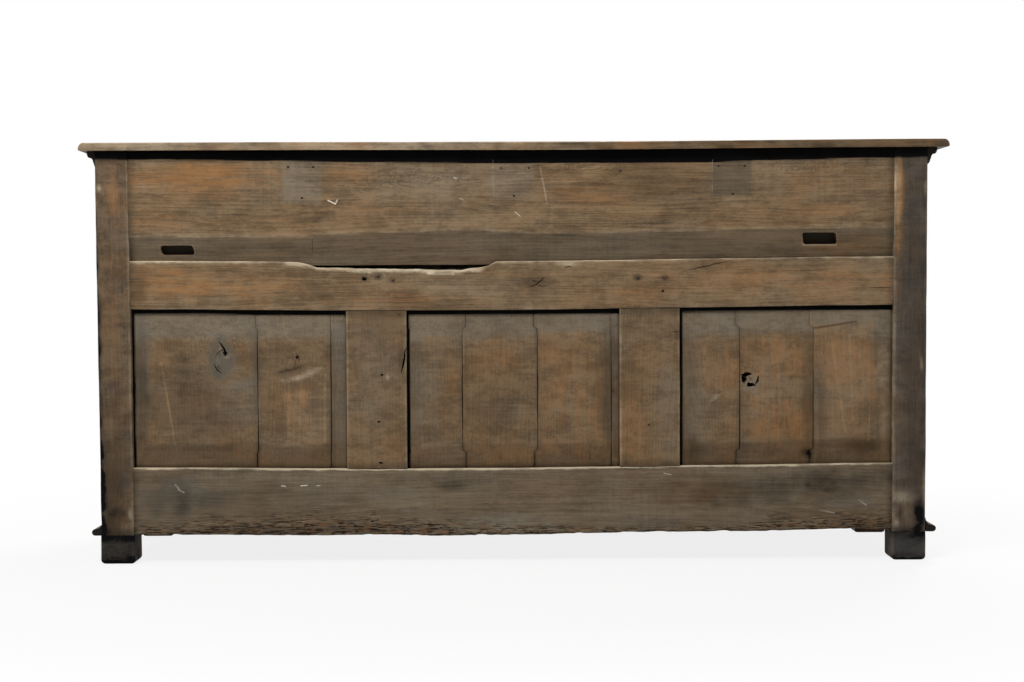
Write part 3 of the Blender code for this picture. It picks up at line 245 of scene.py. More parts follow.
class Wire:
    """A shader value that takes part in Python sums by adding Math nodes."""

    def __init__(self, graph: "Graph", socket: bpy.types.NodeSocket) -> None:
        """Keeps the socket and the graph that it belongs to."""
        self.graph, self.socket = graph, socket

    def _maths(self, operation: str, *values: "Wire | float", clamp: bool = False) -> "Wire":
        """The result of a Math node on these values."""
        settings = {"operation": operation, "use_clamp": clamp}
        return self.graph.wire("ShaderNodeMath", settings, dict(enumerate(values)))

    def __add__(self, other: "Wire | float") -> "Wire":
        """The sum."""
        return self._maths("ADD", self, other)

    __radd__ = __add__

    def __sub__(self, other: "Wire | float") -> "Wire":
        """The difference."""
        return self._maths("SUBTRACT", self, other)

    def __rsub__(self, other: float) -> "Wire":
        """The difference, taken from a number."""
        return self._maths("SUBTRACT", other, self)

    def __mul__(self, other: "Wire | float") -> "Wire":
        """The product."""
        return self._maths("MULTIPLY", self, other)

    __rmul__ = __mul__

    def __pow__(self, power: float) -> "Wire":
        """The value raised to a power."""
        return self._maths("POWER", self, power)

    def clamp(self) -> "Wire":
        """The value held between 0 and 1."""
        return self._maths("ADD", self, 0.0, clamp=True)

    def fract(self) -> "Wire":
        """What is left over a whole number."""
        return self._maths("FRACT", self)

    def most(self, other: "Wire | float") -> "Wire":
        """The greater of two values."""
        return self._maths("MAXIMUM", self, other)

    def band(self, low: float, high: float) -> "Wire":
        """A smooth rise from 0 at low to 1 at high, or a fall where low is the greater.

        Args:
            low: The value at which the result is 0.
            high: The value at which it is 1.

        Returns:
            The result.
        """
        reverse = low > high
        ends = {1: min(low, high), 2: max(low, high), 3: float(reverse), 4: float(not reverse)}
        settings = {"interpolation_type": "SMOOTHSTEP"}
        return self.graph.wire("ShaderNodeMapRange", settings, {0: self, **ends})


class Graph:
    """The node tree of one material, or of the world."""

    def __init__(self, owner: Material | bpy.types.World) -> None:
        """Empties the tree of its owner.

        Args:
            owner: The material or the world.
        """
        self.owner = owner
        owner.use_nodes = True
        self.tree = owner.node_tree
        self.tree.nodes.clear()

    def node(self, kind: str, settings: dict | None = None, sockets: dict | None = None) -> bpy.types.Node:
        """Adds a node.

        Args:
            kind: The node's type.
            settings: Its own options, set first.
            sockets: Values or wires by the name or number of the input.

        Returns:
            The node.
        """
        node = self.tree.nodes.new(kind)
        for option, value in (settings or {}).items():
            setattr(node, option, value)
        for key, value in (sockets or {}).items():
            socket = node.inputs[key]
            if isinstance(value, Wire):
                self.tree.links.new(value.socket, socket)
            elif isinstance(value, tuple) and socket.type == "RGBA":
                socket.default_value = (*value, 1.0)
            else:
                socket.default_value = value
        return node

    def wire(
        self, kind: str, settings: dict | None = None, sockets: dict | None = None, output: int = 0
    ) -> Wire:
        """Adds a node and returns one of its outputs as a wire."""
        return Wire(self, self.node(kind, settings, sockets).outputs[output])

    def vector(self, operation: str, **sockets: "Wire | Colour | float") -> Wire:
        """A Vector Math node.

        Args:
            operation: What it does.
            sockets: Its inputs, named first, second and scale.

        Returns:
            Its result, a number where the operation gives one.
        """
        places = {"first": 0, "second": 1, "scale": 3}
        output = 1 if operation in ("DOT_PRODUCT", "LENGTH") else 0
        inputs = {places[name]: value for name, value in sockets.items()}
        return self.wire("ShaderNodeVectorMath", {"operation": operation}, inputs, output)

    def mix(self, share: Wire | float, first: Wire | Colour, second: Wire | Colour) -> Wire:
        """A mix of two colours, by the share that the second has."""
        return self.wire("ShaderNodeMix", {"data_type": "RGBA"}, {0: share, 6: first, 7: second}, 2)

    def noise(self, place: Wire, scale: float | Colour, detail: float = 3.0, rough: float = 0.55) -> Wire:
        """Noise.

        Args:
            place: Where it is read.
            scale: How fine it is, in one number or one for each axis.
            detail: The number of its layers.
            rough: How strong the finer layers are.

        Returns:
            A value about 0.5.
        """
        factors = scale if isinstance(scale, tuple) else (scale,) * 3
        scaled = self.vector("MULTIPLY", first=place, second=factors)
        sockets = {"Vector": scaled, "Scale": 1.0, "Detail": detail, "Roughness": rough}
        return self.wire("ShaderNodeTexNoise", None, sockets)

    def film(self, film: Film) -> Wire:
        """A film painted on the mesh."""
        return self.wire("ShaderNodeAttribute", {"attribute_name": film.value}, None, 2)

    def place(self) -> Wire:
        """Where the shaded point is, in metres in the frame, at rest."""
        return self.wire("ShaderNodeTexCoord", None, None, 3)

    def stroke(self, place: Wire, start: Colour, end: Colour, width: float) -> Wire:
        """A mask along a straight line, seen along Y.

        Args:
            place: Where it is read.
            start: The line's start.
            end: Its end.
            width: How far from the line the mask ends.

        Returns:
            1 on the line and 0 beyond its width.
        """
        run = Vector(end) - Vector(start)
        offset = self.vector("SUBTRACT", first=place, second=start)
        share = self.vector("DOT_PRODUCT", first=offset, second=tuple(run / run.length_squared)).clamp()
        foot = self.vector("SCALE", first=tuple(run), scale=share)
        apart = self.vector("SUBTRACT", first=offset, second=foot)
        flat = self.vector("MULTIPLY", first=apart, second=(1.0, 0.0, 1.0))
        return self.vector("LENGTH", first=flat).band(width, width * 0.35)

    def finish(self, sockets: dict) -> Material:
        """Ends the graph in a Principled shader.

        Args:
            sockets: The values or wires of its inputs.

        Returns:
            The finished material.
        """
        shader = self.wire("ShaderNodeBsdfPrincipled", None, sockets)
        self.node("ShaderNodeOutputMaterial", None, {0: shader})
        return self.owner


# Finishes


@dataclass(frozen=True)
class Stroke:
    """A thin line drawn or scraped on a board, between two pixels of the photograph."""

    start: Pixel
    end: Pixel
    colour: Colour
    width: float = 0.0016
    strength: float = 0.8

    @classmethod
    def rows(cls, colours: dict[Colour, Sequence[tuple]]) -> list["Stroke"]:
        """Strokes by their colour, from rows of the two pixels, the width and the strength."""
        return [cls(row[:2], row[2:4], colour, *row[4:]) for colour, rows in colours.items() for row in rows]


@dataclass(frozen=True)
class OakFinish:
    """An oak surface: its colours, its figure, what lies on it and how it shines."""

    name: str
    deep: Colour
    pale: Colour
    amber: Colour
    # this grey colour also paints sheen
    dust: Colour
    # this dark colour also paints shade and shadows
    soot: Colour
    # this pale colour also paints highlights
    rubbed_and_highlight: Colour
    rings: float = 120.0
    warp: float = 14.0
    level: float = 0.56
    flecks: float = 0.0
    figure: float = 0.16
    grain: float = 0.50
    mottle: float = 0.42
    saw: float = 0.0
    amber_spread: float = 0.0
    dust_spread: float = 0.0
    soot_spread: float = 0.0
    roughness: Span = (0.58, 0.82)
    specular: float = 0.12
    coat: float = 0.0
    relief: float = 0.5

    SEED_STEP = (17.31, 9.17, 23.73)
    ROT_DARK = (0.012, 0.009, 0.006)
    ROT_RUST = (0.145, 0.066, 0.028)
    RELIEF_HEIGHT = 0.0012
    COAT_ROUGHNESS = 0.28

    def dress(self, run: Run, strokes: Sequence[Stroke] = (), label: str = "") -> Material:
        """Makes the material for pieces whose grain runs one way.

        Args:
            run: The way of the grain.
            strokes: Lines that are drawn on the boards.
            label: What is added to the material's name.

        Returns:
            The material.
        """
        graph = Graph(bpy.data.materials.new(f"{self.name}_{run.name.lower()}{label}"))
        place = graph.place()
        shift = graph.vector("SCALE", first=self.SEED_STEP, scale=graph.film(Film.SEED))
        wood = graph.vector("ADD", first=place, second=shift)
        fibre = graph.noise(wood, run.stretch(9.0, 300.0), 4.0, 0.62)
        streak = graph.noise(wood, run.stretch(3.2, 46.0), 4.0, 0.60)
        patina = graph.noise(wood, (15.0, 20.0, 30.0), 5.0, 0.80)
        warmth = graph.noise(wood, (6.0, 8.0, 11.0), 5.0, 0.64)
        ring = self._rings(graph, wood, run)
        pore = graph.noise(wood, run.stretch(60.0, 1300.0), 2.0, 0.5).band(0.60, 0.70) * (0.35 + 0.65 * ring)
        scrape = graph.noise(wood, run.stretch(9.0, 100.0), 3.0, 0.60)
        saw = (graph.noise(wood, run.stretch(170.0, 8.0), 2.0, 0.60) - 0.5) * warmth.band(0.56, 0.40)
        grain = streak.band(0.30, 0.70) * 0.50 + fibre.band(0.30, 0.70) * 0.50
        rays = graph.noise(wood, run.stretch(34.0, 120.0), 1.0, 0.4).band(0.62, 0.67)
        tone = (grain - 0.5) * self.grain + (patina.band(0.36, 0.64) - 0.5) * self.mottle + self.level
        tone = tone + (ring - 0.6) * self.figure + saw * self.saw + rays * self.flecks
        tone = (tone + (ring - 0.5) * graph.film(Film.SWELL) * 0.35).clamp()
        colour = graph.mix(tone, self.deep, self.pale)
        colour = self._lay_films(graph, colour, tone, (scrape, warmth, patina))
        colour = graph.mix(pore * 0.45, colour, self.soot)
        colour, pits = self._rot(graph, colour, wood, run)
        for stroke in strokes:
            ends = [(*CAMERA.spot(*pixel), RAIL_FACE) for pixel in (stroke.start, stroke.end)]
            start, end = ((x, y, z) for x, z, y in ends)
            whole = 1.0 - (1.0 - patina.band(0.38, 0.60)) * (1.0 - stroke.strength)
            mask = graph.stroke(place, start, end, stroke.width) * whole
            colour = graph.mix(mask * stroke.strength, colour, stroke.colour)
        height = fibre * 0.34 + streak * 0.25 + ring * 0.16 + saw * self.saw - pore * 0.5 - pits * 1.6
        sockets = {"Strength": self.relief, "Distance": self.RELIEF_HEIGHT, "Height": height}
        bump = graph.wire("ShaderNodeBump", None, sockets)
        low, high = self.roughness
        rough = (low + (high - low) * patina.band(0.30, 0.70) + pore * 0.1).clamp()
        return graph.finish(
            {
                "Base Color": colour,
                "Roughness": rough,
                "Normal": bump,
                "Specular IOR Level": self.specular,
                "Coat Weight": self.coat,
                "Coat Roughness": self.COAT_ROUGHNESS,
            }
        )

    def _rings(self, graph: Graph, wood: Wire, run: Run) -> Wire:
        """The growth rings.

        Args:
            graph: The material's graph.
            wood: The place in the board's own wood.
            run: The way of the grain.

        Returns:
            A value that falls from 1 to 0 over each ring, dark at its early wood.
        """
        parts = graph.node("ShaderNodeSeparateXYZ", None, {0: wood})
        bend = graph.noise(wood, run.stretch(1.15, 10.0), 2.5, 0.45)
        across = Wire(graph, parts.outputs[run.width_axis()])
        inward = Wire(graph, parts.outputs[0 if run is Run.DEEP else 1])
        phase = across * self.rings + inward * (self.rings * 0.7) + bend * self.warp
        phase = phase + graph.film(Film.SWELL) * 7.0
        return 1.0 - phase.fract() ** 1.7

    def _lay_films(self, graph: Graph, colour: Wire, tone: Wire, noises: Sequence[Wire]) -> Wire:
        """Lays the amber, the dust with its painted sheen, the rubbed places with their painted highlights,
        and the soot with its painted shade on the wood.

        Args:
            graph: The material's graph.
            colour: The colour of the wood.
            tone: How light the wood is.
            noises: The noises of the scrapes, of the warmth and of the patina.

        Returns:
            The colour with the films on it.
        """
        scrape, warmth, patina = noises
        patch = patina.band(0.34, 0.62)
        amber = graph.film(Film.AMBER) * (0.55 + 0.45 * warmth.band(0.36, 0.62))
        amber = amber + warmth.band(0.48, 0.61) * self.amber_spread
        amber = (amber * (0.35 + 0.75 * scrape.band(0.38, 0.58))).clamp()
        glow = graph.mix(tone, tuple(0.45 * part for part in self.amber), self.amber)
        colour = graph.mix(amber, colour, glow)
        # the grey film, which also carries painted sheen
        dust = graph.film(Film.DUST) * (0.70 + 0.30 * patch) + warmth.band(0.52, 0.39) * self.dust_spread
        film = graph.mix(tone, tuple(0.50 * part for part in self.dust), self.dust)
        colour = graph.mix(dust.clamp(), colour, film)
        # rubbed wear, with painted highlights on upward arrises
        rub = (graph.film(Film.RUB) * (0.50 + 0.50 * patch)).clamp()
        bare = graph.mix(tone, tuple(0.60 * part for part in self.rubbed_and_highlight), self.rubbed_and_highlight)
        colour = graph.mix(rub, colour, bare)
        # the dark film, with the painted shade it carries
        soot = graph.film(Film.SOOT) * (0.75 + 0.35 * patch) + patina.band(0.56, 0.70) * self.soot_spread
        return graph.mix(soot.clamp(), colour, self.soot)

    def _rot(self, graph: Graph, colour: Wire, wood: Wire, run: Run) -> tuple[Wire, Wire]:
        """Worm galleries and crumbling wood, where the mesh says so.

        Args:
            graph: The material's graph.
            colour: The colour of the surface.
            wood: The place in the board's own wood.
            run: The way of the grain.

        Returns:
            The colour with the rot on it, and how deep its pits are.
        """
        rot = graph.film(Film.ROT)
        gallery = graph.noise(wood, run.stretch(48.0, 460.0), 3.0, 0.6)
        pits = gallery.band(0.50, 0.41) * rot
        crumb = graph.noise(wood, run.stretch(34.0, 150.0), 3.0).band(0.48, 0.66) * rot
        colour = graph.mix((crumb * 0.60).clamp(), colour, self.ROT_RUST)
        return graph.mix((pits * 0.94).clamp(), colour, self.ROT_DARK), pits


@dataclass(frozen=True)
class IronFinish:
    """Forged iron: dark scale with rust in its hollows."""

    name: str = "iron"
    scale: Colour = (0.030, 0.027, 0.025)
    rust: Colour = (0.105, 0.042, 0.018)
    roughness: Span = (0.42, 0.80)

    def dress(self) -> Material:
        """Makes the material.

        Returns:
            The material.
        """
        graph = Graph(bpy.data.materials.new(self.name))
        place = graph.place()
        rust = graph.noise(place, 240.0, 4.0, 0.65).band(0.46, 0.62)
        low, high = self.roughness
        height = graph.noise(place, 900.0, 3.0)
        bump = graph.wire("ShaderNodeBump", None, {"Strength": 0.4, "Distance": 0.0006, "Height": height})
        return graph.finish(
            {
                "Base Color": graph.mix(rust, self.scale, self.rust),
                "Metallic": 1.0 - rust * 0.9,
                "Roughness": low + (high - low) * rust,
                "Normal": bump,
            }
        )


# Its dark colour is near black, so that the painted shadows read black.
BACK_OAK = OakFinish(
    name="back_oak",
    deep=(0.034, 0.023, 0.0135), pale=(0.278, 0.187, 0.105), amber=(0.318, 0.168, 0.073),
    dust=(0.222, 0.188, 0.140), soot=(0.0018, 0.0016, 0.0015), rubbed_and_highlight=(0.630, 0.525, 0.370),
    level=0.46, figure=0.10, grain=0.08, mottle=0.34, saw=0.46,
    amber_spread=0.20, dust_spread=0.18, soot_spread=0.10, specular=0.04,
)
COMBED_OAK = replace(BACK_OAK, name="combed_back_oak", level=0.54, grain=0.48, figure=0.16, saw=0.34)
# Greyer dust and a bluish black: they paint the posts' bluish sheen as well as their dirt.
POST_OAK = replace(
    BACK_OAK, name="post_oak", level=0.51, mottle=0.56, grain=0.26,
    dust=(0.160, 0.148, 0.136), soot=(0.0030, 0.0030, 0.0036),
)
SHOW_OAK = OakFinish(
    name="show_oak",
    deep=(0.016, 0.0075, 0.0030), pale=(0.170, 0.078, 0.028), amber=(0.250, 0.105, 0.032),
    dust=(0.100, 0.066, 0.038), soot=(0.008, 0.005, 0.003), rubbed_and_highlight=(0.300, 0.155, 0.062),
    level=0.48, flecks=0.16, figure=0.30, grain=0.44, mottle=0.21,
    amber_spread=0.36, soot_spread=0.18, roughness=(0.44, 0.62), specular=0.10, coat=0.03, relief=0.35,
)
LINING_OAK = OakFinish(
    name="lining_oak",
    deep=(0.150, 0.094, 0.052), pale=(0.370, 0.262, 0.160), amber=(0.390, 0.245, 0.120),
    dust=(0.260, 0.215, 0.155), soot=(0.050, 0.040, 0.030), rubbed_and_highlight=(0.450, 0.330, 0.210),
    amber_spread=0.20, dust_spread=0.25, soot_spread=0.15, roughness=(0.62, 0.85),
)
OAKS = {Slot.BACK: COMBED_OAK, Slot.SHOW: SHOW_OAK, Slot.LINING: LINING_OAK}
CHALK = (0.62, 0.58, 0.50)
SCRAPE = (0.32, 0.205, 0.105)
SCAR = (0.050, 0.022, 0.010)


class Paintbox:
    """Keeps the materials, so that pieces of one finish share one."""

    def __init__(self) -> None:
        """Starts with no materials."""
        self.made: dict[tuple, Material] = {}

    def oak(self, finish: OakFinish, run: Run, strokes: Sequence[Stroke] = (), label: str = "") -> Material:
        """An oak finish with its grain one way.

        Args:
            finish: The finish.
            run: The way of the grain.
            strokes: Lines that are drawn on the boards.
            label: What is added to the material's name.

        Returns:
            The material.
        """
        key = (finish.name, run, label)
        if key not in self.made:
            self.made[key] = finish.dress(run, strokes, label)
        return self.made[key]

    def iron(self) -> Material:
        """The iron of the pins and nails."""
        key = (Slot.IRON,)
        return self.made.get(key) or self.made.setdefault(key, IronFinish().dress())


# Mesh tools


def new_object(name: str, mesh: bpy.types.Mesh) -> Piece:
    """Puts a mesh into the scene.

    Args:
        name: The name of the object.
        mesh: The mesh.

    Returns:
        The object.
    """
    made = bpy.data.objects.new(name, mesh)
    bpy.context.scene.collection.objects.link(made)
    return made


def mesh_of(name: str, solid: Solid) -> Piece:
    """Turns a BMesh into an object, with its normals outward.

    Args:
        name: The name of the object and its mesh.
        solid: The BMesh, which is freed.

    Returns:
        The object.
    """
    bmesh.ops.recalc_face_normals(solid, faces=solid.faces)
    mesh = bpy.data.meshes.new(name)
    solid.to_mesh(mesh)
    solid.free()
    return new_object(name, mesh)


def loft(solid: Solid, rings: Sequence[Sequence[bmesh.types.BMVert]]) -> None:
    """Closes a row of rings to a solid with flat ends.

    Args:
        solid: The mesh that takes the faces.
        rings: The points of each ring, as many in each.
    """
    count = len(rings[0])
    for upper, lower in zip(rings, rings[1:]):
        for side in range(count):
            after = (side + 1) % count
            solid.faces.new((upper[side], upper[after], lower[after], lower[side]))
    solid.faces.new(rings[0])
    solid.faces.new(reversed(rings[-1]))


def circle(sides: int) -> Array:
    """The angles of points spread evenly round a circle."""
    return np.arange(sides) * 2 * math.pi / sides


def ring_of(
    solid: Solid, centre: Pixel, y: float, angles: Array, across: Array | float, up: Array | float
) -> list[bmesh.types.BMVert]:
    """Adds points at these angles and reaches round an X and Z, on the plane at this y, and gives them."""
    columns, rows = centre[0] + across * np.cos(angles), centre[1] + up * np.sin(angles)
    return [solid.verts.new((x, y, z)) for x, z in zip(columns, rows)]


def settle(piece: Piece) -> None:
    """Applies the modifiers of a new piece to its mesh.

    Args:
        piece: The piece.
    """
    graph = bpy.context.evaluated_depsgraph_get()
    mesh = bpy.data.meshes.new_from_object(piece.evaluated_get(graph))
    piece.modifiers.clear()
    old, piece.data = piece.data, mesh
    mesh.name = piece.name
    bpy.data.meshes.remove(old)


def carve(piece: Piece, cutter: Piece) -> None:
    """Cuts one closed mesh out of another.

    Args:
        piece: The piece that is cut.
        cutter: What is cut from it, and is then deleted.
    """
    cut = piece.modifiers.new("cut", "BOOLEAN")
    cut.object, cut.operation, cut.solver = cutter, "DIFFERENCE", "EXACT"
    cut.use_self = True
    settle(piece)
    bpy.data.objects.remove(cutter)


def shade(piece: Piece, angle: float = 32.0) -> None:
    """Shades a piece smooth, but for edges sharper than an angle in degrees."""
    piece.data.polygons.foreach_set("use_smooth", [True] * len(piece.data.polygons))
    piece.data.set_sharp_from_angle(angle=math.radians(angle))


def paint_points(piece: Piece, film: Film, values: Array | float) -> None:
    """Paints a film on the points of a mesh, with a value for each of them or one for all."""
    layer = piece.data.attributes.new(film.value, "FLOAT", "POINT")
    layer.data.foreach_set("value", np.full(len(piece.data.vertices), values, np.float32))


def points_of(piece: Piece) -> Array:
    """The points of a mesh.

    Args:
        piece: The object that has the mesh.

    Returns:
        Rows of X, Y and Z.
    """
    places = np.empty(len(piece.data.vertices) * 3, np.float32)
    piece.data.vertices.foreach_get("co", places)
    return places.reshape(-1, 3).astype(float)


def join(pieces: Sequence[Piece], name: str) -> Piece:
    """Joins several objects into the first.

    Args:
        pieces: The objects.
        name: The name of what they make.

    Returns:
        The joined object.
    """
    with bpy.context.temp_override(active_object=pieces[0], selected_editable_objects=list(pieces)):
        bpy.ops.object.join()
    pieces[0].name = pieces[0].data.name = name
    return pieces[0]


def hand_over(piece: Piece, body: str, slot: Slot, *nodes: str) -> None:
    """Puts a finished piece on its body and says what it stands for.

    Args:
        piece: The piece.
        body: The body that it rides on.
        slot: The record's slot for its finish; not used.
        nodes: The nodes that it replaces.
    """
    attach(piece, body)
    if nodes:
        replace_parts(piece, *nodes)
    LOG.info("%s: %d faces on %s", piece.name, len(piece.data.polygons), body)


# Marks of age, placed by the photograph


@dataclass(frozen=True)
class Mark:
    """A patch of one film on the back, placed and sized in pixels of the photograph."""

    film: Film
    spot: Pixel
    reach: Pixel
    strength: float = 1.0
    turn: float = 0.0
    square: bool = False
    edge: Span = (1.45, 0.15)

    FIRM = (1.05, 0.93)
    RAGGED = 0.42
    RAGGED_SCALE = 38.0

    @classmethod
    def rows(cls, films: dict[Film, Sequence[tuple]]) -> list["Mark"]:
        """Marks by their film, from rows of the pixel, the reach across and up, and the other fields."""
        return [cls(film, row[:2], row[2:4], *row[4:]) for film, rows in films.items() for row in rows]

    def amount(self, x: Array, z: Array, grit: Grit) -> Array:
        """How much of the film lies on the back.

        Args:
            x: The X of the points.
            z: Their Z.
            grit: The noise that frays the patch.

        Returns:
            The amount at each point.
        """
        centre_x, centre_z = CAMERA.spot(*self.spot)
        across, up = (centre_x - x) / PIXEL, (z - centre_z) / PIXEL
        cosine, sine = math.cos(math.radians(self.turn)), math.sin(math.radians(self.turn))
        u = (across * cosine + up * sine) / self.reach[0]
        v = (up * cosine - across * sine) / self.reach[1]
        if self.square:
            return self.strength * ramp(np.maximum(abs(u), abs(v)), *self.FIRM)
        blur = self.edge[0] - self.edge[1]
        frayed = grit.layers(x * self.RAGGED_SCALE, z * self.RAGGED_SCALE, 4)
        ragged = np.hypot(u, v) + self.RAGGED * blur * frayed
        return self.strength * ramp(ragged, *self.edge)


@dataclass(frozen=True)
class Crack:
    """A split in a board's outer face, along a row of pixels of the photograph."""

    path: Sequence[Pixel]
    width: float = 0.0016
    depth: float = 0.0060

    STEP = 0.006
    JITTER = 0.0005
    ABOVE = 0.003
    FLOOR_SHARE = 0.3  # the width of the split's floor over that of its mouth

    def cut_from(self, solid: Solid, face: float) -> None:
        """Adds the wedge that is to be cut away.

        Args:
            solid: The mesh that takes it.
            face: The place of the board's face along Y.
        """
        corners = [Vector(CAMERA.spot(*pixel, face)) for pixel in self.path]
        random = np.random.default_rng(int(self.path[0][0] * 7 + self.path[0][1]))
        line = [corners[0]]
        for start, end in zip(corners, corners[1:]):
            count = max(1, round((end - start).length / self.STEP))
            for step in range(1, count + 1):
                line.append(start.lerp(end, step / count) + Vector(random.normal(0.0, self.JITTER, 2)))
        rows = []
        for index, spot in enumerate(line):
            ahead = (line[min(index + 1, len(line) - 1)] - line[max(index - 1, 0)]).normalized()
            side = Vector((-ahead.y, ahead.x))
            open_share = 0.10 + 0.90 * math.sin(math.pi * index / (len(line) - 1)) ** 0.7
            half, deep = self.width / 2 * open_share, self.depth * (0.25 + 0.75 * open_share)
            floor = half * self.FLOOR_SHARE
            row = []
            for offset, y in ((half, self.ABOVE), (-half, self.ABOVE), (-floor, -deep), (floor, -deep)):
                point = spot + side * offset
                row.append(solid.verts.new((point.x, face + y, point.y)))
            rows.append(row)
        loft(solid, rows)


@dataclass(frozen=True)
class Hole:
    """A ragged hole in a board's outer face, with its reach in pixels of the photograph."""

    spot: Pixel
    reach: Pixel
    depth: float = 0.008
    ragged: float = 0.25
    sides: int = 14

    TAPER = 0.6
    ABOVE = 0.003
    RIM = 0.0004

    @classmethod
    def small(cls, reach: float, *spots: Pixel) -> list["Hole"]:
        """Small round holes, such as nails leave."""
        return [cls(spot, (reach, reach), 0.006, 0.2, 9) for spot in spots]

    def cut_from(self, solid: Solid, face: float) -> None:
        """Adds the plug that is to be cut away.

        Args:
            solid: The mesh that takes it.
            face: The place of the board's face along Y.
        """
        centre = CAMERA.spot(*self.spot, face)
        random = np.random.default_rng(int(self.spot[0] * 5 + self.spot[1]))
        radii = PIXEL * (1.0 + self.ragged * random.uniform(-1.0, 1.0, self.sides))
        across, up = radii * self.reach[0], radii * self.reach[1]
        rings = []
        for share, y in ((1.0, self.ABOVE), (1.0, -self.RIM), (self.TAPER, -self.depth)):
            rings.append(ring_of(solid, centre, face + y, circle(self.sides), share * across, share * up))
        loft(solid, rings)


# The back's boards


@dataclass
class WornBoard:
    """One board of the back: a closed mesh with a dense, worn outer face."""

    name: str
    run: Run
    length: Span
    width: Span
    depth: Span
    seed: int
    ease: Span = (0.0018, 0.0018)
    rub: Span = (0.5, 0.5)
    cell: Span = (0.005, 0.004)
    side_steps: int = 3
    lean: Span = (0.0, 0.0)
    wave: float = 0.0004
    # whether the top's shadow is painted black along the board's upper end
    shaded: bool = False
    bowed: bool = False
    rub_reach: float = 0.0030
    film_depth: Span = (0.024, 0.010)  # how far below the outer face the films end and are whole
    base: dict[Film, float] = field(default_factory=dict)
    marks: Sequence[Mark] = ()
    cuts: Sequence[Crack | Hole] = ()

    ARRIS_STEPS = 3
    EDGE_WANDER = 0.0005
    SEED_SCALE = 37.0
    RUB_DEPTH = (0.012, 0.006)
    RUB_FADE = (1.6, 0.5)
    END_SOOT = 0.45
    END_REACH = (0.020, 0.001)
    HOLLOW_SOOT = 0.9
    HOLLOW_DEPTH = (0.0006, 0.0025)
    TOP_SHADOW_LINE = (  # where the painted black of the top's shadow ends
        (90, 158.3), (150, 158.7), (300, 160.5), (400, 161.8), (500, 162.6), (620, 162.3), (700, 161.4),
        (780, 159.2), (850, 157.5), (932, 156.3),
    )
    TOP_SHADOW_BLUR = 0.0018
    SHADE_SOOT = 2.6

    def __post_init__(self) -> None:
        """Draws the board's own noise."""
        self.grit = Grit(self.seed)

    def stations(self) -> Array:
        """The places along the length at which the board has a cross-section."""
        count = max(2, round((self.length[1] - self.length[0]) / self.cell[0]))
        return np.linspace(*self.length, count + 1)

    def low_edge(self, length: Array) -> Array:
        """The lower or left edge of the board along its length."""
        wander = self.EDGE_WANDER * (self.grit.layers(length * 14.0, 0 * length + 3.0) + 0.6)
        return self.width[0] + wander + self.bend(length)

    def high_edge(self, length: Array) -> Array:
        """The upper or right edge of the board along its length."""
        wander = self.EDGE_WANDER * (self.grit.layers(length * 14.0, 0 * length + 9.0) - 0.6)
        return self.width[1] + wander + self.bend(length)

    def bend(self, length: Array) -> Array:
        """How far the whole board stands aside, by its lean or by the bow of the rails."""
        return bow(length) if self.bowed else np.interp(length, self.length, self.lean)

    def low_arris(self, length: Array) -> tuple[Array, Array]:
        """How far the lower arris is worn across the face, and into the depth."""
        worn = self.ease[0] * (1.0 + 0.5 * self.grit.layers(length * 25.0, 0 * length + 20.0))
        return worn, worn

    def high_arris(self, length: Array) -> tuple[Array, Array]:
        """How far the upper arris is worn across the face, and into the depth."""
        worn = self.ease[1] * (1.0 + 0.5 * self.grit.layers(length * 25.0, 0 * length + 30.0))
        return worn, worn

    def relief(self, length: Array, width: Array) -> Array:
        """The height of the outer face over the flat board, below zero where wood is gone."""
        return self.wave * self.grit.layers(length * 9.0, width * 30.0)

    def sections(self) -> tuple[Array, Array, Array]:
        """The board's points, by station and by place round the cross-section.

        Returns:
            The length, the width and the depth of the points.
        """
        along = self.stations()
        low, high = self.low_edge(along), self.high_edge(along)
        (low_w, low_d), (high_w, high_d) = self.low_arris(along), self.high_arris(along)
        inner, outer = self.depth
        turn = np.linspace(0.0, math.pi / 2, self.ARRIS_STEPS + 1)[:-1]
        rise = np.linspace(0.0, 1.0, self.side_steps + 1)[:-1]
        face = np.linspace(0.0, 1.0, max(2, round((self.width[1] - self.width[0]) / self.cell[1])) + 1)

        def spread(values: Array, shares: Array) -> Array:
            """Every station's value times every share."""
            return np.outer(values, shares)

        one, flat = np.ones_like(along), np.ones_like
        widths = [
            spread(low, flat(rise)),
            spread(low, flat(turn)) + spread(low_w, 1 - np.cos(turn)),
            spread(low + low_w, 1 - face) + spread(high - high_w, face),
            spread(high, flat(turn)) - spread(high_w, 1 - np.cos(turn[::-1])),
            spread(high, flat(rise)),
        ]
        depths = [
            inner + spread(outer - low_d - inner, rise),
            outer - spread(low_d, 1 - np.sin(turn)),
            spread(outer * one, flat(face)),
            outer - spread(high_d, 1 - np.sin(turn[::-1])),
            inner + spread(outer - high_d - inner, rise[::-1]),
        ]
        width, depth = np.hstack(widths), np.hstack(depths)
        length = np.repeat(along[:, None], width.shape[1], 1)
        share = np.clip((depth - inner) / (outer - inner), 0.0, 1.0)
        return length, width, depth + share * self.relief(length, width)

    def in_frame(self, length: Array, width: Array, depth: Array) -> Array:
        """Board coordinates as points of the frame."""
        order = (length, depth, width) if self.run is Run.ACROSS else (width, depth, length)
        return np.stack(order, -1)

    def on_board(self, points: Array) -> tuple[Array, Array, Array]:
        """Points of the frame as length, width and depth of the board."""
        x, y, z = points.T
        return (x, z, y) if self.run is Run.ACROSS else (z, x, y)

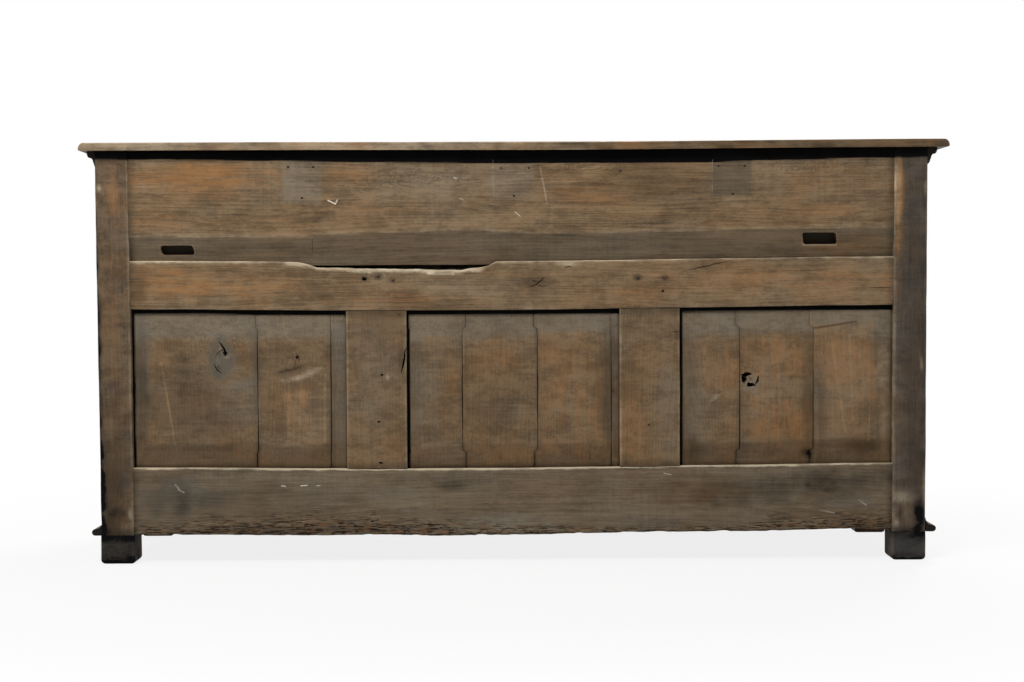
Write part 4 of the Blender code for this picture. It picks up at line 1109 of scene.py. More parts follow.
    def build(self) -> Piece:
        """Makes the board, cuts its splits and holes, and paints it.

        Returns:
            The piece.
        """
        length, width, depth = self.sections()
        rows, columns = length.shape
        points = self.in_frame(length, width, depth).reshape(-1, 3)
        index = np.arange(rows * columns).reshape(rows, columns)
        beside = np.roll(index, -1, 1)
        quads = np.stack((index[:-1], beside[:-1], beside[1:], index[1:]), -1).reshape(-1, 4)
        faces = quads.tolist() + [index[0].tolist()[::-1], index[-1].tolist()]
        mesh = bpy.data.meshes.new(self.name)
        mesh.from_pydata(points.tolist(), [], faces)
        solid = bmesh.new()
        solid.from_mesh(mesh)
        bpy.data.meshes.remove(mesh)
        piece = mesh_of(self.name, solid)
        self.carve_cuts(piece)
        self.paint(piece)
        shade(piece)
        return piece

    def carve_cuts(self, piece: Piece) -> None:
        """Cuts the board's splits and holes.

        Args:
            piece: The board's piece.
        """
        if not self.cuts:
            return
        cutter = bmesh.new()
        for cut in self.cuts:
            cut.cut_from(cutter, self.depth[1])
        carve(piece, mesh_of(f"{self.name}_cuts", cutter))

    def paint(self, piece: Piece) -> None:
        """Paints the board's films on its points."""
        for film, values in self.films(points_of(piece)).items():
            paint_points(piece, film, values)

    def films(self, points: Array) -> dict[Film, Array]:
        """What lies on the board, and the shade painted on it.

        Args:
            points: Rows of X, Y and Z.

        Returns:
            The amount of each film at each point.
        """
        length, width, depth = self.on_board(points)
        x, z = points[:, 0], points[:, 2]
        below = self.depth[1] - depth
        on_face = ramp(below, *self.film_depth)
        films = {film: on_face * self.base.get(film, 0.0) for film in Film}
        films[Film.SEED] += self.seed / self.SEED_SCALE
        for mark in self.marks:
            films[mark.film] += on_face * mark.amount(x, z, self.grit)
        near = self.rub_reach * (1.0 + 0.6 * self.grit.layers(length * 40.0, width * 40.0))
        patchy = 0.40 + 0.60 * ramp(self.grit.layers(length * 22.0, width * 60.0, 2), -0.35, 0.35)
        gaps = (width - self.low_edge(length), self.high_edge(length) - width)
        worn = patchy * ramp(below, *self.RUB_DEPTH)
        for strength, gap in zip(self.rub, gaps):
            films[Film.RUB] += strength * worn * ramp(gap / near, *self.RUB_FADE)
        # darker towards the board's ends
        end_gap = np.minimum(length - self.length[0], self.length[1] - length)
        films[Film.SOOT] += self.END_SOOT * ramp(end_gap, *self.END_REACH) * (0.6 + 0.4 * patchy)
        # painted shade inside the cracks and holes, below the face
        inside = (gaps[0] > self.ease[0] * 2) & (gaps[1] > self.ease[1] * 2) & (end_gap > 0.002)
        hollow = ramp(below + self.relief(length, width), *self.HOLLOW_DEPTH)
        films[Film.SOOT] += inside * self.HOLLOW_SOOT * hollow
        # painted shadow: the top's overhang shades the board's upper end, painted black here
        if self.shaded:
            over = z - np.interp(x, *CAMERA.line(self.TOP_SHADOW_LINE))
            films[Film.SOOT] += self.SHADE_SOOT * on_face * ramp(over, -self.TOP_SHADOW_BLUR, self.TOP_SHADOW_BLUR)
        return films


@dataclass
class BottomRail(WornBoard):
    """The back's bottom rail, with a rotten, ragged lower edge."""

    WORN_LINE = (
        (134, 535.2), (215, 535.0), (300, 535.8), (390, 534.8), (430, 536.0), (530, 534.6), (600, 533.2),
        (700, 531.6), (775, 531.2), (815, 529.6), (850, 528.8), (893, 530.4),
    )
    ROT_LINE = (
        (134, 525.0), (220, 514.0), (330, 508.0), (420, 513.0), (520, 523.0), (640, 526.0), (750, 524.0),
        (770, 514.0), (820, 513.0), (850, 510.0), (893, 504.0),
    )
    CRUMB = 0.0007
    NOTCH = 0.0016
    GALLERY = 0.0026
    PIT = 0.0009

    def low_edge(self, length: Array) -> Array:
        """The worn line, with crumbled notches.

        Args:
            length: Places along the rail.

        Returns:
            The height of the edge there.
        """
        line = np.interp(length, *CAMERA.line(self.WORN_LINE))
        crumbs = self.grit.layers(length * 55.0, 0 * length + 3.0, 4)
        notches = ramp(self.grit.at(length * 30.0, 0 * length + 60.0), 0.35, 0.9)
        return line + self.CRUMB * crumbs + self.NOTCH * notches

    def rot(self, length: Array, width: Array) -> Array:
        """How rotten the wood is.

        Args:
            length: Places along the rail.
            width: Their heights.

        Returns:
            0 for sound wood, up to 1.
        """
        line = np.interp(length, *CAMERA.line(self.ROT_LINE))
        edge = np.interp(length, *CAMERA.line(self.WORN_LINE))
        height = (width - edge) / (line - edge) + 0.35 * self.grit.layers(length * 24.0, width * 80.0)
        return ramp(height, 1.15, 0.30)

    def relief(self, length: Array, width: Array) -> Array:
        """Galleries along the grain, deeper towards the lower edge.

        Args:
            length: Places along the rail.
            width: Their heights.

        Returns:
            The height of the face there.
        """
        gallery = ramp(self.grit.layers(length * 34.0, width * 360.0, 3), 0.05, 0.60)
        deep = self.GALLERY * gallery + self.PIT * self.grit.layers(length * 120.0, width * 420.0, 2)
        return super().relief(length, width) - self.rot(length, width) * deep

    def films(self, points: Array) -> dict[Film, Array]:
        """The board's films, with rot."""
        length, width, _ = self.on_board(points)
        return {**super().films(points), Film.ROT: self.rot(length, width)}


@dataclass
class MiddleRail(WornBoard):
    """The back's middle rail, with a long splinter lost from its upper edge."""

    SPLIT_HEEL = 0.0138
    SPLIT_FACE = 0.0204
    SPLIT_INWARD = 0.0125
    SPLIT_DEEP = 0.016
    SPLIT_SHADE = (0.0095, 0.0115)  # painted shade in the split, between these depths below the face
    SPLIT_ROW = 262.0
    SPLIT_LINE = (
        (296, 0.0), (308, 0.30), (316, 0.80), (345, 0.86), (352, 0.96), (400, 1.0), (440, 1.10), (462, 1.16),
        (474, 0.92), (488, 0.62), (496, 0.0),
    )

    def split(self, length: Array) -> Array:
        """How much of the splinter's full depth is gone.

        Args:
            length: Places along the rail.

        Returns:
            The share there.
        """
        places = [(CAMERA.spot(px, self.SPLIT_ROW)[0], share) for px, share in self.SPLIT_LINE]
        share = np.interp(length, *np.array(places)[::-1].T)
        return share * (1.0 + 0.12 * self.grit.layers(length * 45.0, 0 * length + 44.0, 4))

    def high_edge(self, length: Array) -> Array:
        """The upper edge, lower where the splinter is gone."""
        return super().high_edge(length) - self.SPLIT_HEEL * self.split(length)

    def high_arris(self, length: Array) -> tuple[Array, Array]:
        """The broken slope where the splinter is gone.

        Args:
            length: Places along the rail.

        Returns:
            How far it goes across the face, and into the depth.
        """
        across, inward = super().high_arris(length)
        gone = self.split(length)
        across = across + (self.SPLIT_FACE - self.SPLIT_HEEL) * gone
        return across, inward + self.SPLIT_INWARD * ramp(gone, 0.0, 0.4)

    def sections(self) -> tuple[Array, Array, Array]:
        """The rail's points; behind the groove its upper edge is whole.

        Returns:
            The length, the width and the depth of the points.
        """
        length, width, depth = super().sections()
        lip = slice(-self.side_steps + 1, None)
        width[:, lip] = super().high_edge(length[:, lip])
        return length, width, depth

    def films(self, points: Array) -> dict[Film, Array]:
        """The board's films, with bare wood in the split.

        Args:
            points: Rows of X, Y and Z.

        Returns:
            The amount of each film at each point.
        """
        films = super().films(points)
        length, width, depth = self.on_board(points)
        gone, below = self.split(length), self.depth[1] - depth
        edge = (self.SPLIT_FACE - self.SPLIT_HEEL) * gone + self.ease[1]
        slope = (self.high_edge(length) - width < edge) & (below < self.SPLIT_DEEP)
        films[Film.RUB] += 0.95 * slope * ramp(gone, 0.60, 0.95)
        films[Film.SOOT] *= 1.0 - 0.9 * slope
        # painted shade deep in the split
        films[Film.SOOT] += ramp(gone, 0.05, 0.3) * ramp(below, *self.SPLIT_SHADE)
        return films


@dataclass
class UpperPanel(WornBoard):
    """The wide board above the middle rail, bevelled by hand along its lower edge."""

    sight: float = 0.621
    bevel_drop: float = 0.0117

    ARRIS_LINE = (
        (130, 236.4), (250, 236.6), (311, 236.2), (313, 234.6), (380, 232.2), (478, 229.8), (500, 231.6),
        (545, 233.4), (640, 231.6), (760, 228.6), (893, 226.4),
    )
    ARRIS_WANDER = 0.0009
    CHATTER = 0.0004
    SLOTS = ((160.3, 245.4, 193.2, 254.7), (803.0, 232.4, 837.0, 244.0))  # pixels of the corners
    SLOT_CORNER = 0.0052
    SLOT_LEAN = 0.0018
    SLOT_CORNER_STEPS = 6
    SLOT_SILL = 0.0012
    CUT_MARGIN = 0.004
    BEVEL_EDGE = (0.001, -0.003)
    BEVEL_SOOT = 0.27
    BEVEL_DUST = 0.40

    def slots(self) -> list[tuple[float, float, float, float]]:
        """The finger slots.

        Returns:
            The middle of each in X and Z, and half its width and height.
        """
        made = []
        for left, top, right, bottom in self.SLOTS:
            (high_x, high_z), (low_x, low_z) = CAMERA.spot(left, top), CAMERA.spot(right, bottom)
            middle = ((high_x + low_x) / 2, (high_z + low_z) / 2)
            made.append((*middle, (high_x - low_x) / 2, (high_z - low_z) / 2))
        return made

    def arris(self, length: Array) -> Array:
        """The height of the bevel's wavy arris."""
        line = np.interp(length, *CAMERA.line(self.ARRIS_LINE))
        return line + self.ARRIS_WANDER * self.grit.layers(length * 30.0, 0 * length)

    def relief(self, length: Array, width: Array) -> Array:
        """The bevel, with the chatter of the plane on it.

        Args:
            length: Places along the board.
            width: Their heights.

        Returns:
            The height of the face there.
        """
        arris = self.arris(length)
        share = np.clip((arris - width) / (arris - self.sight), 0.0, 1.3)
        chatter = self.CHATTER * self.grit.layers(length * 80.0, width * 40.0, 2) * ramp(share, 0.1, 0.4)
        return super().relief(length, width) - self.bevel_drop * share + chatter

    def carve_cuts(self, piece: Piece) -> None:
        """Cuts the finger slots as well.

        Args:
            piece: The board's piece.
        """
        super().carve_cuts(piece)
        cutter = bmesh.new()
        for x, z, half_x, half_z in self.slots():
            rings = []
            for y in (self.depth[0] - self.CUT_MARGIN, self.depth[1] + self.CUT_MARGIN):
                ring = []
                for corner, (sign_x, sign_z) in enumerate(((1, 1), (-1, 1), (-1, -1), (1, -1))):
                    for step in range(self.SLOT_CORNER_STEPS):
                        angle = math.pi / 2 * (corner + step / (self.SLOT_CORNER_STEPS - 1))
                        u = sign_x * (half_x - self.SLOT_CORNER) + self.SLOT_CORNER * math.cos(angle)
                        v = sign_z * (half_z - self.SLOT_CORNER) + self.SLOT_CORNER * math.sin(angle)
                        ring.append(cutter.verts.new((x + u + self.SLOT_LEAN * v / half_z, y, z + v)))
                rings.append(ring)
            loft(cutter, rings)
        carve(piece, mesh_of(f"{self.name}_slots", cutter))

    def films(self, points: Array) -> dict[Film, Array]:
        """The board's films, with painted shade and grey dust on the bevel, a rubbed arris and rubbed slots.

        Args:
            points: Rows of X, Y and Z.

        Returns:
            The amount of each film at each point.
        """
        films = super().films(points)
        length, width, depth = self.on_board(points)
        over = width - self.arris(length)
        # painted shade on the downward-facing bevel, with grey dust
        films[Film.SOOT] += self.BEVEL_SOOT * ramp(over, *self.BEVEL_EDGE)
        films[Film.DUST] += self.BEVEL_DUST * ramp(over, *self.BEVEL_EDGE)
        films[Film.RUB] += 0.16 * ramp(abs(over - 0.0015), 0.004, 0.001)
        for x, z, half_x, half_z in self.slots():
            near = np.maximum(abs(length - x) - half_x, abs(width - z) - half_z)
            films[Film.SOOT] -= 0.9 * (near < 0.0010) * np.minimum(films[Film.SOOT], 1.0)
            films[Film.AMBER] += 0.5 * ramp(near, 0.002, 0.0)
            sill = ramp(abs(width - z + half_z + self.SLOT_SILL), 0.0022, 0.0004)
            films[Film.RUB] += 0.45 * sill * (abs(length - x) < half_x) * (depth > self.depth[1] - 0.008)
        return films


@dataclass
class FieldedBoard(WornBoard):
    """One of the boards that a fielded back panel is glued up from."""

    sight_x: Span = (0.0, 1.0)
    sight_z: Span = (0.0, 1.0)
    skew: Span = (0.0, 0.0)
    top_bevel: float = 1.0
    panel_seed: int = 0
    film_depth: Span = (0.0150, 0.0125)

    RISE = 0.0067
    BEVEL_SIDES = 0.035
    BEVEL_ENDS = (0.052, 0.060)
    TONGUE = (0.60, 0.66)  # the part of an end bevel in which it cuts down to the joint's tongue
    OPEN_JOINT = 0.0014
    JOINT_WANDER = 0.0010
    JOINT_SOOT = (0.0080, 0.0004)
    UPPER_REACH = (0.080, 0.045)
    LOWER_REACH = (0.070, 0.035)
    EDGE_SOOT = (  # painted shadow cast by the rail above and the member on the right, weaker darkening at the left and the foot: how much, and from which gap to which: at the top, the right, the left and the foot
        (2.4, 0.0085, 0.0055), (2.4, 0.0052, 0.0026), (0.5, 0.0050, 0.0), (0.15, 0.0080, 0.0),
    )

    def __post_init__(self) -> None:
        """Draws the noise that the whole panel shares."""
        super().__post_init__()
        self.panel_grit = Grit(self.panel_seed)

    def field_share(self, length: Array, width: Array) -> Array:
        """How far up the bevels a point is.

        Args:
            length: The heights of the points.
            width: Their X.

        Returns:
            1 on the field, less on the bevels.
        """
        wander = self.panel_grit.layers(width * 11.0, length * 11.0, 4)
        wander = wander + 0.5 * self.grit.at(width * 9.0, length * 9.0)
        rise = bow(width)
        ends, sides = 1 + 0.16 * wander, self.BEVEL_SIDES * (1 + 0.22 * wander)
        low = (length - self.sight_z[0] - rise) / (self.BEVEL_ENDS[0] * ends)
        high = (self.sight_z[1] + rise - length) / (self.BEVEL_ENDS[1] * self.top_bevel * ends)
        across = np.minimum(width - self.sight_x[0], self.sight_x[1] - width) / sides
        return np.clip(np.minimum(np.minimum(low, high), across), -0.35, 1.0)

    def end_share(self, length: Array) -> Array:
        """1 on the field, and 0 where the bevels at the two ends have cut down to the joint's tongue."""
        gaps = (length - self.sight_z[0], self.sight_z[1] - length)
        return math.prod(ramp(gap / bevel, *self.TONGUE) for gap, bevel in zip(gaps, self.BEVEL_ENDS))

    def joint(self, place: float, skew: float, length: Array, sign: float) -> Array:
        """A glue joint, which stands aside on the bevels and gapes a little.

        Args:
            place: The X of the joint on the field.
            skew: How far it stands aside on the bevels.
            length: The heights of the points.
            sign: 1 for the edge on its right, -1 for the edge on its left.

        Returns:
            The X of the edge.
        """
        gape = 0.55 + 0.45 * self.panel_grit.layers(length * 12.0, 0 * length + place * 99.0)
        gape = self.OPEN_JOINT * gape * (0.35 + 0.65 * ramp(length, self.sight_z[1], sum(self.sight_z) / 2))
        wander = self.JOINT_WANDER * self.panel_grit.layers(length * 9.0, 0 * length + place * 50.0)
        return place + skew * (1 - self.end_share(length)) + wander + sign * np.maximum(gape, 0.0001)

    def low_edge(self, length: Array) -> Array:
        """The joint with the board on its left, or the panel's own edge."""
        joint = self.joint(self.width[0], self.skew[0], length, 1.0)
        return np.full_like(length, self.width[0]) if self.width[0] < self.sight_x[0] else joint

    def high_edge(self, length: Array) -> Array:
        """The joint with the board on its right, or the panel's own edge."""
        joint = self.joint(self.width[1], self.skew[1], length, -1.0)
        return np.full_like(length, self.width[1]) if self.width[1] > self.sight_x[1] else joint

    def relief(self, length: Array, width: Array) -> Array:
        """The bevels round the field.

        Args:
            length: The heights of the points.
            width: Their X.

        Returns:
            The height of the face there.
        """
        share = self.field_share(length, width)
        rounded = share - 0.05 * np.exp(-(((share - 1.0) / 0.10) ** 2))
        return super().relief(length, width) - self.RISE * (1.0 - rounded)

    def films(self, points: Array) -> dict[Film, Array]:
        """The board's films: dust and a painted lighter tone on the upper bevel, painted shade on the lower
        one, and none on the inner face.

        Args:
            points: Rows of X, Y and Z.

        Returns:
            The amount of each film at each point.
        """
        films = super().films(points)
        length, width, depth = self.on_board(points)
        share = self.field_share(length, width)
        haze = 0.08 * self.panel_grit.layers(width * 30.0, length * 30.0, 4)
        bevel = 1.0 - ramp(share + haze, 0.86, 1.00)
        below, above = length - self.sight_z[0] - bow(width), self.sight_z[1] + bow(width) - length
        upper, lower = ramp(above, *self.UPPER_REACH), ramp(below, *self.LOWER_REACH)
        # Dust lies on every bevel; the upper bevels are painted lighter and greyer and the lower ones darker
        # and warmer, as light from above falls on them: painted light and shade.
        films[Film.DUST] += bevel * (0.30 + 0.42 * upper - 0.28 * lower)
        films[Film.SOOT] += 0.05 + bevel * (0.12 + 0.10 * lower - 0.16 * upper)
        films[Film.AMBER] += 0.10 + bevel * (0.14 * lower - 0.10 * upper)
        for edge in (self.low_edge(length), self.high_edge(length)):
            halo = 0.55 + 0.45 * self.panel_grit.layers(length * 14.0, edge * 9.0)
            films[Film.SOOT] += 0.40 * halo * ramp(abs(edge - width), *self.JOINT_SOOT)
        films[Film.RUB] += 0.14 * ramp(abs(share - 0.97), 0.07, 0.0) * (upper + 0.5 * lower)
        # painted shadow along the field's top and right edges, lighter darkening at the left and the foot
        gaps = (above, self.sight_x[1] - width, width - self.sight_x[0], below)
        for gap, (strength, *reach) in zip(gaps, self.EDGE_SOOT):
            films[Film.SOOT] += strength * ramp(gap, *reach)
        on_face = ramp(self.depth[1] - depth, *self.film_depth)
        return {film: values if film is Film.SEED else values * on_face for film, values in films.items()}


@dataclass
class Foot(WornBoard):
    """A rear foot: a block with its lower edges rounded by wear."""

    ROUND = 0.009

    def sections(self) -> tuple[Array, Array, Array]:
        """The block's points, drawn in towards its lower end.

        Returns:
            The length, the width and the depth of the points.
        """
        length, width, depth = super().sections()
        height = np.clip((self.ROUND - (length - self.length[0])) / self.ROUND, 0.0, 1.0)
        inset = self.ROUND * (1.0 - np.sqrt(1.0 - height**2))
        middle_w, middle_d = sum(self.width) / 2, sum(self.depth) / 2
        half_w, half_d = (self.width[1] - self.width[0]) / 2, (self.depth[1] - self.depth[0]) / 2
        width = middle_w + (width - middle_w) * (1.0 - inset / half_w)
        return length, width, middle_d + (depth - middle_d) * (1.0 - inset / half_d)

    def stations(self) -> Array:
        """Stations that crowd at the rounded end.

        Returns:
            Their places along the length.
        """
        low, high = self.length
        curve = low + self.ROUND * (1.0 - np.cos(np.linspace(0.0, math.pi / 2, 7)))
        return np.concatenate((curve[:-1], np.linspace(low + self.ROUND, high, 12)))


# What age has left on the back, and a painted sheen on a foot, by the photograph's pixels. A row of a mark
# holds its column and row, its reach across and up, its strength and, where they aren't the usual ones, its
# turn, its form and its edge.

POST_LEAN = {"right": (0.0024, 0.0062), "left": (0.0006, -0.0024)}  # at the foot and at the head, in metres
POST_MARKS = {
    "right": Mark.rows({  # the photograph's left
        Film.AMBER: (
            (116, 215, 8, 36, 0.60), (112, 320, 8, 60, 0.42), (116, 430, 6, 40, 0.30),
            (114, 190, 10, 24, 0.75),
        ),
        Film.SOOT: (
            (97, 330, 4.0, 250, 0.80, 0.8), (112, 480, 24, 60, 0.36), (110, 522, 22, 20, 0.15),
            (114, 190, 12, 24, -0.20),
        ),
        Film.RUB: ((99, 188, 2.5, 3, 0.9), (101, 459, 2.0, 9, 0.9), (130.5, 514, 2.2, 6, 0.7)),
        Film.DUST: ((125, 480, 8, 14, 0.40),),
    }),
    "left": Mark.rows({  # the photograph's right
        Film.SOOT: (
            (914, 330, 15, 260, 0.30), (925, 330, 4, 250, 0.16), (912, 455, 18, 40, 0.08),
            (898.5, 195, 4.5, 60, -0.45), (918, 515, 6, 18, 0.95), (900, 512, 4, 10, 0.50),
        ),
        Film.AMBER: (
            (898.5, 195, 4.5, 60, 2.2), (898, 270, 4, 40, 0.7), (908, 384, 5, 9, 0.7, 20),
            (908, 508, 12, 22, 0.55),
        ),
        Film.DUST: ((898.5, 200, 5.0, 70, -1.1),),
        Film.RUB: (
            (898, 190, 3.0, 50, 0.26), (904, 497, 11, 7, 0.55), (896.5, 523, 3, 6, 0.65),
            (921, 363, 1.2, 10, 0.8, 6), (926, 188, 2.0, 7, 0.8), (924, 488, 2.0, 18, 0.75),
        ),
    }),
}
FOOT_MARKS = Mark.rows({
    Film.RUB: ((116, 561.5, 10, 2.2, 0.75), (131, 561.0, 3, 2.2, 0.75), (905, 557.8, 10, 1.8, 0.85)),
    # the dust patch on the left foot paints its bluish-grey sheen
    Film.DUST: ((906, 545, 14, 10, 0.6),),
})
BOTTOM_MARKS = Mark.rows({
    Film.DUST: (
        (185, 488, 26, 12, 0.55), (170, 498, 44, 26, 0.40), (380, 495, 90, 16, 0.15),
        (660, 492, 70, 18, -0.30), (850, 500, 30, 9, 0.45), (505, 522, 46, 10, 0.60),
    ),
    Film.SOOT: (
        (170, 498, 44, 26, 0.34), (240, 498, 60, 26, 0.16), (330, 498, 60, 24, 0.09),
        (285, 530, 130, 6, 0.34), (862, 523, 40, 8, 0.22), (450, 486, 16, 6, 0.40), (760, 490, 80, 16, 0.34),
        (850, 482, 56, 14, 0.36), (680, 490, 60, 16, 0.12), (505, 524, 46, 8, -0.16),
    ),
    Film.AMBER: ((560, 486, 70, 9, 0.22), (455, 505, 50, 10, 0.25), (680, 488, 70, 12, 0.34)),
})
MIDDLE_MARKS = Mark.rows({
    Film.AMBER: (
        (200, 288, 70, 14, 0.75), (160, 276, 26, 7, 0.50), (382, 298, 60, 7, 0.60),
        (800, 278, 110, 14, 0.65), (640, 292, 60, 8, 0.35),
    ),
    Film.RUB: (
        (800, 280, 110, 18, 0.07), (490, 285, 90, 14, 0.05), (205, 261.5, 80, 2.2, 0.8),
        (567, 264, 10, 1.6, 0.5), (299, 264.6, 19, 2.6, 0.60, -7, False, (1.2, 0.5)),
    ),
    Film.SOOT: (
        (140, 292, 8, 16, 0.40), (535, 284, 17, 9, 0.42), (638, 278, 4.4, 3.4, 0.75),
        (665, 278, 4.0, 3.2, 0.75), (364, 279, 4, 3, 0.6), (378, 276.5, 4, 3, 0.6), (393, 280, 4, 3, 0.6),
    ),
    Film.SWELL: ((537, 283, 14, 8, 0.8), (567, 266, 10, 6, 0.8), (378, 278, 16, 6, 0.5)),
    Film.DUST: ((460, 285, 50, 10, 0.30),),
})
MIDDLE_CUTS = (
    Crack(((526, 285.5), (532, 286), (537, 284), (545, 276.5)), 0.0030),
    Crack(((536, 284.6), (542, 286), (549, 285)), 0.0024),
    Crack(((683.4, 271.6), (706, 266), (724, 262), (735.8, 259.3)), 0.0026, 0.005),
    Crack(((867.6, 287.2), (880, 287.6), (893.8, 287.2)), 0.0018),
    Crack(((563, 268.5), (568, 266.5), (573, 267.5)), 0.0020, 0.004),
    Hole((663, 291), (1.5, 1.2), 0.006, 0.2, 9),
    Hole((364.5, 279), (3.0, 1.7), 0.005, 0.40, 11),
)
MUNTIN_MARKS = {
    "right": Mark.rows({
        Film.DUST: ((377, 380, 24, 60, 0.35),),
        Film.AMBER: ((395, 450, 12, 20, 0.45), (352, 320, 8, 10, 0.3)),
        Film.RUB: ((387.5, 378, 2.2, 3.4, 0.7),),
        Film.SOOT: ((402, 360, 4, 20, 0.35), (377, 328, 26, 22, 0.16)),
    }),
    "left": Mark.rows({
        Film.AMBER: ((641, 355, 14, 18, 0.45, 30), (632, 430, 12, 34, 0.50)),
        Film.DUST: ((668, 400, 14, 60, 0.40),),
        Film.SOOT: ((680, 335, 6, 6, 0.4),),
    }),
}
MUNTIN_CUTS = {
    "right": (
        Crack(((406, 346), (404.5, 358), (401, 374)), 0.0048, 0.010),
        Crack(((396, 316), (402, 313)), 0.0016, 0.004),
        Hole((382, 375), (1.9, 1.3), 0.006, 0.3, 9),
        Hole((379, 422), (1.7, 1.1), 0.006, 0.3, 9),
        Hole((381, 463), (2.2, 1.1), 0.006, 0.3, 9),
    ),
    "left": (
        Crack(((670, 331), (676, 332), (680.5, 331)), 0.0022, 0.005),
        Hole((649, 425), (1.1, 1.1), 0.005, 0.2, 8),
    ),
}
UPPER_MARKS = Mark.rows({
    Film.AMBER: (
        (208, 175, 92, 13, 1.15, 0, False, (1.30, 0.45)), (205, 186, 70, 12, 0.30), (345, 172, 28, 11, 0.75),
        (825, 182, 75, 16, 0.70), (600, 196, 50, 10, 0.40), (420, 205, 60, 8, 0.30), (180, 222, 50, 9, 0.35),
        (820, 212, 60, 9, 0.40), (835, 246, 60, 12, 0.45),
    ),
    Film.DUST: (
        (302, 181, 20, 22, 0.50, 0, True), (512, 180, 22, 21, 0.36, 0, True),
        (732, 176, 20, 19, 0.32, 0, True), (440, 185, 90, 22, 0.25), (835, 246, 60, 12, -0.35),
    ),
    Film.SOOT: ((732, 176, 20, 19, 0.30, 0, True), (660, 180, 60, 22, 0.22)),
    Film.SWELL: ((420, 186, 42, 13, 1.0), (590, 170, 30, 9, 0.8), (795, 172, 36, 10, 0.9)),
})
UPPER_CUTS = (
    Crack(((867, 157), (866, 160), (868, 165)), 0.0016, 0.004),
    Crack(((312.4, 237.5), (312.0, 246), (312.4, 256)), 0.0011, 0.015),
    *Hole.small(1.2, (288, 167), (313, 167), (302, 198)),
    *Hole.small(1.1, (501, 168), (529, 168), (514, 196), (718.5, 166), (744.7, 166), (733, 194)),
)
UPPER_STROKES = Stroke.rows({
    CHALK: (
        (328, 200.4, 335, 203.8, 0.0017, 1.0), (335.2, 204.2, 337.4, 199.8, 0.0015, 0.9),
        (493, 160, 493.5, 200, 0.0015, 0.12), (540, 167, 543, 182, 0.0030, 0.17),
        (543, 182, 547, 203, 0.0024, 0.24), (712.5, 160, 712.5, 194, 0.0015, 0.10),
        (515, 212, 520, 216, 0.0016, 0.55), (454, 177.5, 457, 178.5, 0.0017, 0.60),
        (459, 198.5, 463, 199.5, 0.0015, 0.50),
    ),
})
PANEL_STROKES = Stroke.rows({
    SCRAPE: (
        (160.6, 363, 167.5, 403, 0.0028, 0.34), (167.5, 403, 174.4, 444, 0.0028, 0.38),
        (289, 385, 288, 441, 0.0034, 0.30), (301, 380, 299, 425, 0.0030, 0.28),
        (325, 374, 324.5, 441, 0.0044, 0.34), (281, 314, 286, 338, 0.0030, 0.26),
        (705, 345, 704, 400, 0.0036, 0.26), (832, 340, 846, 432, 0.0042, 0.30),
        (850, 335, 853, 420, 0.0034, 0.30), (870, 408, 869, 440, 0.0034, 0.34),
    ),
    SCAR: ((816, 328, 857, 321.6, 0.0034, 0.60),),
})
BOTTOM_STROKES = Stroke.rows({
    CHALK: (
        (281.5, 485.8, 285.5, 486.2, 0.0014, 0.8), (301, 485.8, 307, 485.4, 0.0015, 0.9),
        (317, 485.8, 320, 485.6, 0.0013, 0.6), (175.5, 485, 179, 489, 0.0030, 0.30),
        (178, 489.5, 184, 492.5, 0.0018, 0.40), (664, 473, 671, 474.6, 0.0014, 0.5),
        (820, 510, 834, 513, 0.0022, 0.30), (859, 500, 866, 505, 0.0020, 0.35),
    ),
})
PANEL_JOINTS = {  # the photograph's columns on the field, and how far the joint shifts on the bevels
    "right": ((257.5, -1.6), (331.0, -0.5)),
    "centre": ((462.4, 3.2), (537.6, -3.2), (611.6, 0.0)),
    "left": ((740.2, -3.4), (813.8, -3.8)),
}
TOP_BEVELS = {("left", 0): 0.62, ("centre", 1): 0.82}  # boards whose upper bevel is short
BOARD_STEP = 0.0004  # how far every other board of a panel stands out
